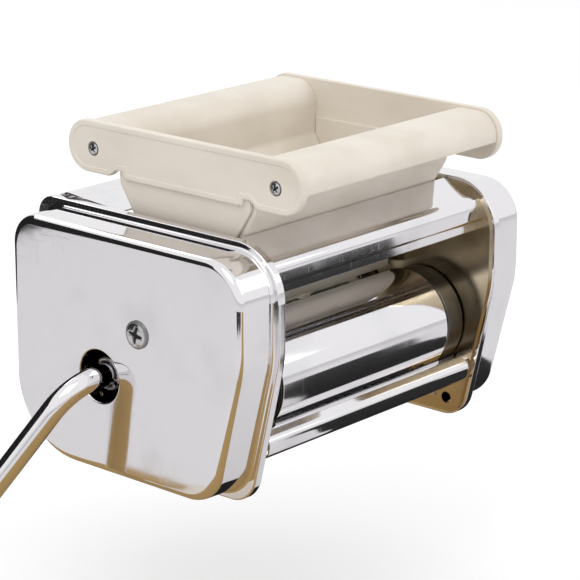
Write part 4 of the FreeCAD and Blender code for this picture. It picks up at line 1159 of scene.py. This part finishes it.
studio = {
    "floorHeight": -0.186,
    "floorHalf": 8.0,
    "floorColour": tint(226, 225, 226),
    "floorLift": 0.3,        # what the camera sees added, so the floor reads white
    "worldPlain": 0.86,      # what lights the object from all round
    "skyBright": 0.98,       # what bright metal sees above the horizon
    "cardHeight": -0.182,    # where a card lies flat, when its corners give no height
    "cards": {               # what only bright metal sees round it: a tint and its corners
        "rearFlag": ("black", [(-1.15, 0.55, -0.183), (0.12, 0.55, -0.183), (0.12, 0.55, 0.5),
                               (-1.15, 0.55, 0.5)]),
        "sideFlag": ("black", [(-0.685, -0.125), (-0.61, -0.425), (-0.40, -0.645), (-0.46, -0.745),
                               (-0.712, -0.48), (-0.80, -0.122)]),
        # underFlag: a black card under the object, seen only in reflections, standing in for the shade
        # beneath it
        "underFlag": ("black", [(-0.02, -0.15), (0.30, -0.15), (0.30, 0.36), (-0.02, 0.36)]),
        "lowFlag": ("black", [(0.08, -0.15), (0.11, -0.21), (0.13, -0.28), (0.175, -0.345), (0.42, -0.60),
                              (0.58, -0.60), (0.34, -0.36), (0.27, -0.22), (0.27, -0.15)]),
        "warmCard": ("warm", [(-0.29, -0.80), (-0.02, -0.80), (-0.02, 0.13), (-0.29, 0.13)]),
    },
    "cardTints": {"black": tint(6, 6, 7), "warm": tint(172, 143, 92)},
    "lamps": [
        {"name": "key", "place": (-1.0, -0.5, 1.3), "size": (0.9, 0.9), "power": 5.0},
        {"name": "fill", "place": (0.7, -1.2, 0.8), "size": (0.8, 0.8), "power": 2.6},
        {"name": "back", "place": (0.3, 1.2, 1.1), "size": (1.0, 0.6), "power": 2.5},
    ],
    "lampAim": (0, -0.08, -0.03),
}


def card(name, corners, material):
    mesh = bpy.data.meshes.new(name)
    mesh.from_pydata(corners, [], [range(len(corners))])
    mesh.materials.append(material)
    made = linked(name, mesh)
    return made


def addFloor(values):
    far, z = values["floorHalf"], values["floorHeight"]
    material = bpy.data.materials.new("floorPaper")
    material.use_nodes = True
    board = Board(material.node_tree)
    board.tree.nodes.remove(board.tree.nodes["Principled BSDF"])
    path = board.node("ShaderNodeLightPath", output="Is Camera Ray")
    paper = board.node("ShaderNodeBsdfDiffuse", None, {"Color": values["floorColour"]})
    lift = path * values["floorLift"]
    glow = board.node("ShaderNodeEmission", None, {"Color": (1, 1, 1, 1), "Strength": lift})
    both = board.node("ShaderNodeAddShader", None, {0: paper, 1: glow})
    board.tree.links.new(both.socket, board.tree.nodes["Material Output"].inputs["Surface"])
    card("floor", [(-far, -far, z), (far, -far, z), (far, far, z), (-far, far, z)], material)


def addCards(values):
    cloths = {}
    for name, colour in values["cardTints"].items():
        material = bpy.data.materials.new(name + "Card")
        material.use_nodes = True
        cloth = material.node_tree.nodes["Principled BSDF"]
        cloth.inputs["Base Color"].default_value = colour
        cloth.inputs["Roughness"].default_value = 1.0
        cloths[name] = material
    for name, (colour, corners) in values["cards"].items():
        spots = [(*corner, values["cardHeight"])[:3] for corner in corners]
        made = card(name, spots, cloths[colour])
        made.visible_camera = False
        made.visible_diffuse = False
        made.visible_shadow = False


def addWorld(values):
    world = bpy.data.worlds.new("studioWorld")
    bpy.context.scene.world = world
    world.use_nodes = True
    board = Board(world.node_tree)
    path = board.node("ShaderNodeLightPath", output="Is Camera Ray")
    plain, bright = values["worldPlain"], values["skyBright"]
    lit = board.node("ShaderNodeMix", {"data_type": "RGBA"},
                     {0: path.out("Is Glossy Ray"), 6: (plain, plain, plain, 1),
                      7: (bright, bright, bright, 1)}, 2)
    seen = board.node("ShaderNodeMix", {"data_type": "RGBA"}, {0: path, 6: lit, 7: (1, 1, 1, 1)}, 2)
    board.tree.links.new(seen.socket, board.tree.nodes["Background"].inputs["Color"])


def addLamps(values):
    for lamp in values["lamps"]:
        light = bpy.data.lights.new(lamp["name"], "AREA")
        light.shape = "RECTANGLE"
        light.size, light.size_y = lamp["size"]
        light.energy = lamp["power"]
        holder = linked(lamp["name"], light)
        place = Vector(lamp["place"])
        aim = Vector(values["lampAim"]) - place
        holder.location = place
        holder.rotation_euler = aim.to_track_quat("-Z", "Y").to_euler()


addFloor(studio)
addCards(studio)
addWorld(studio)
addLamps(studio)
print("studio lit")
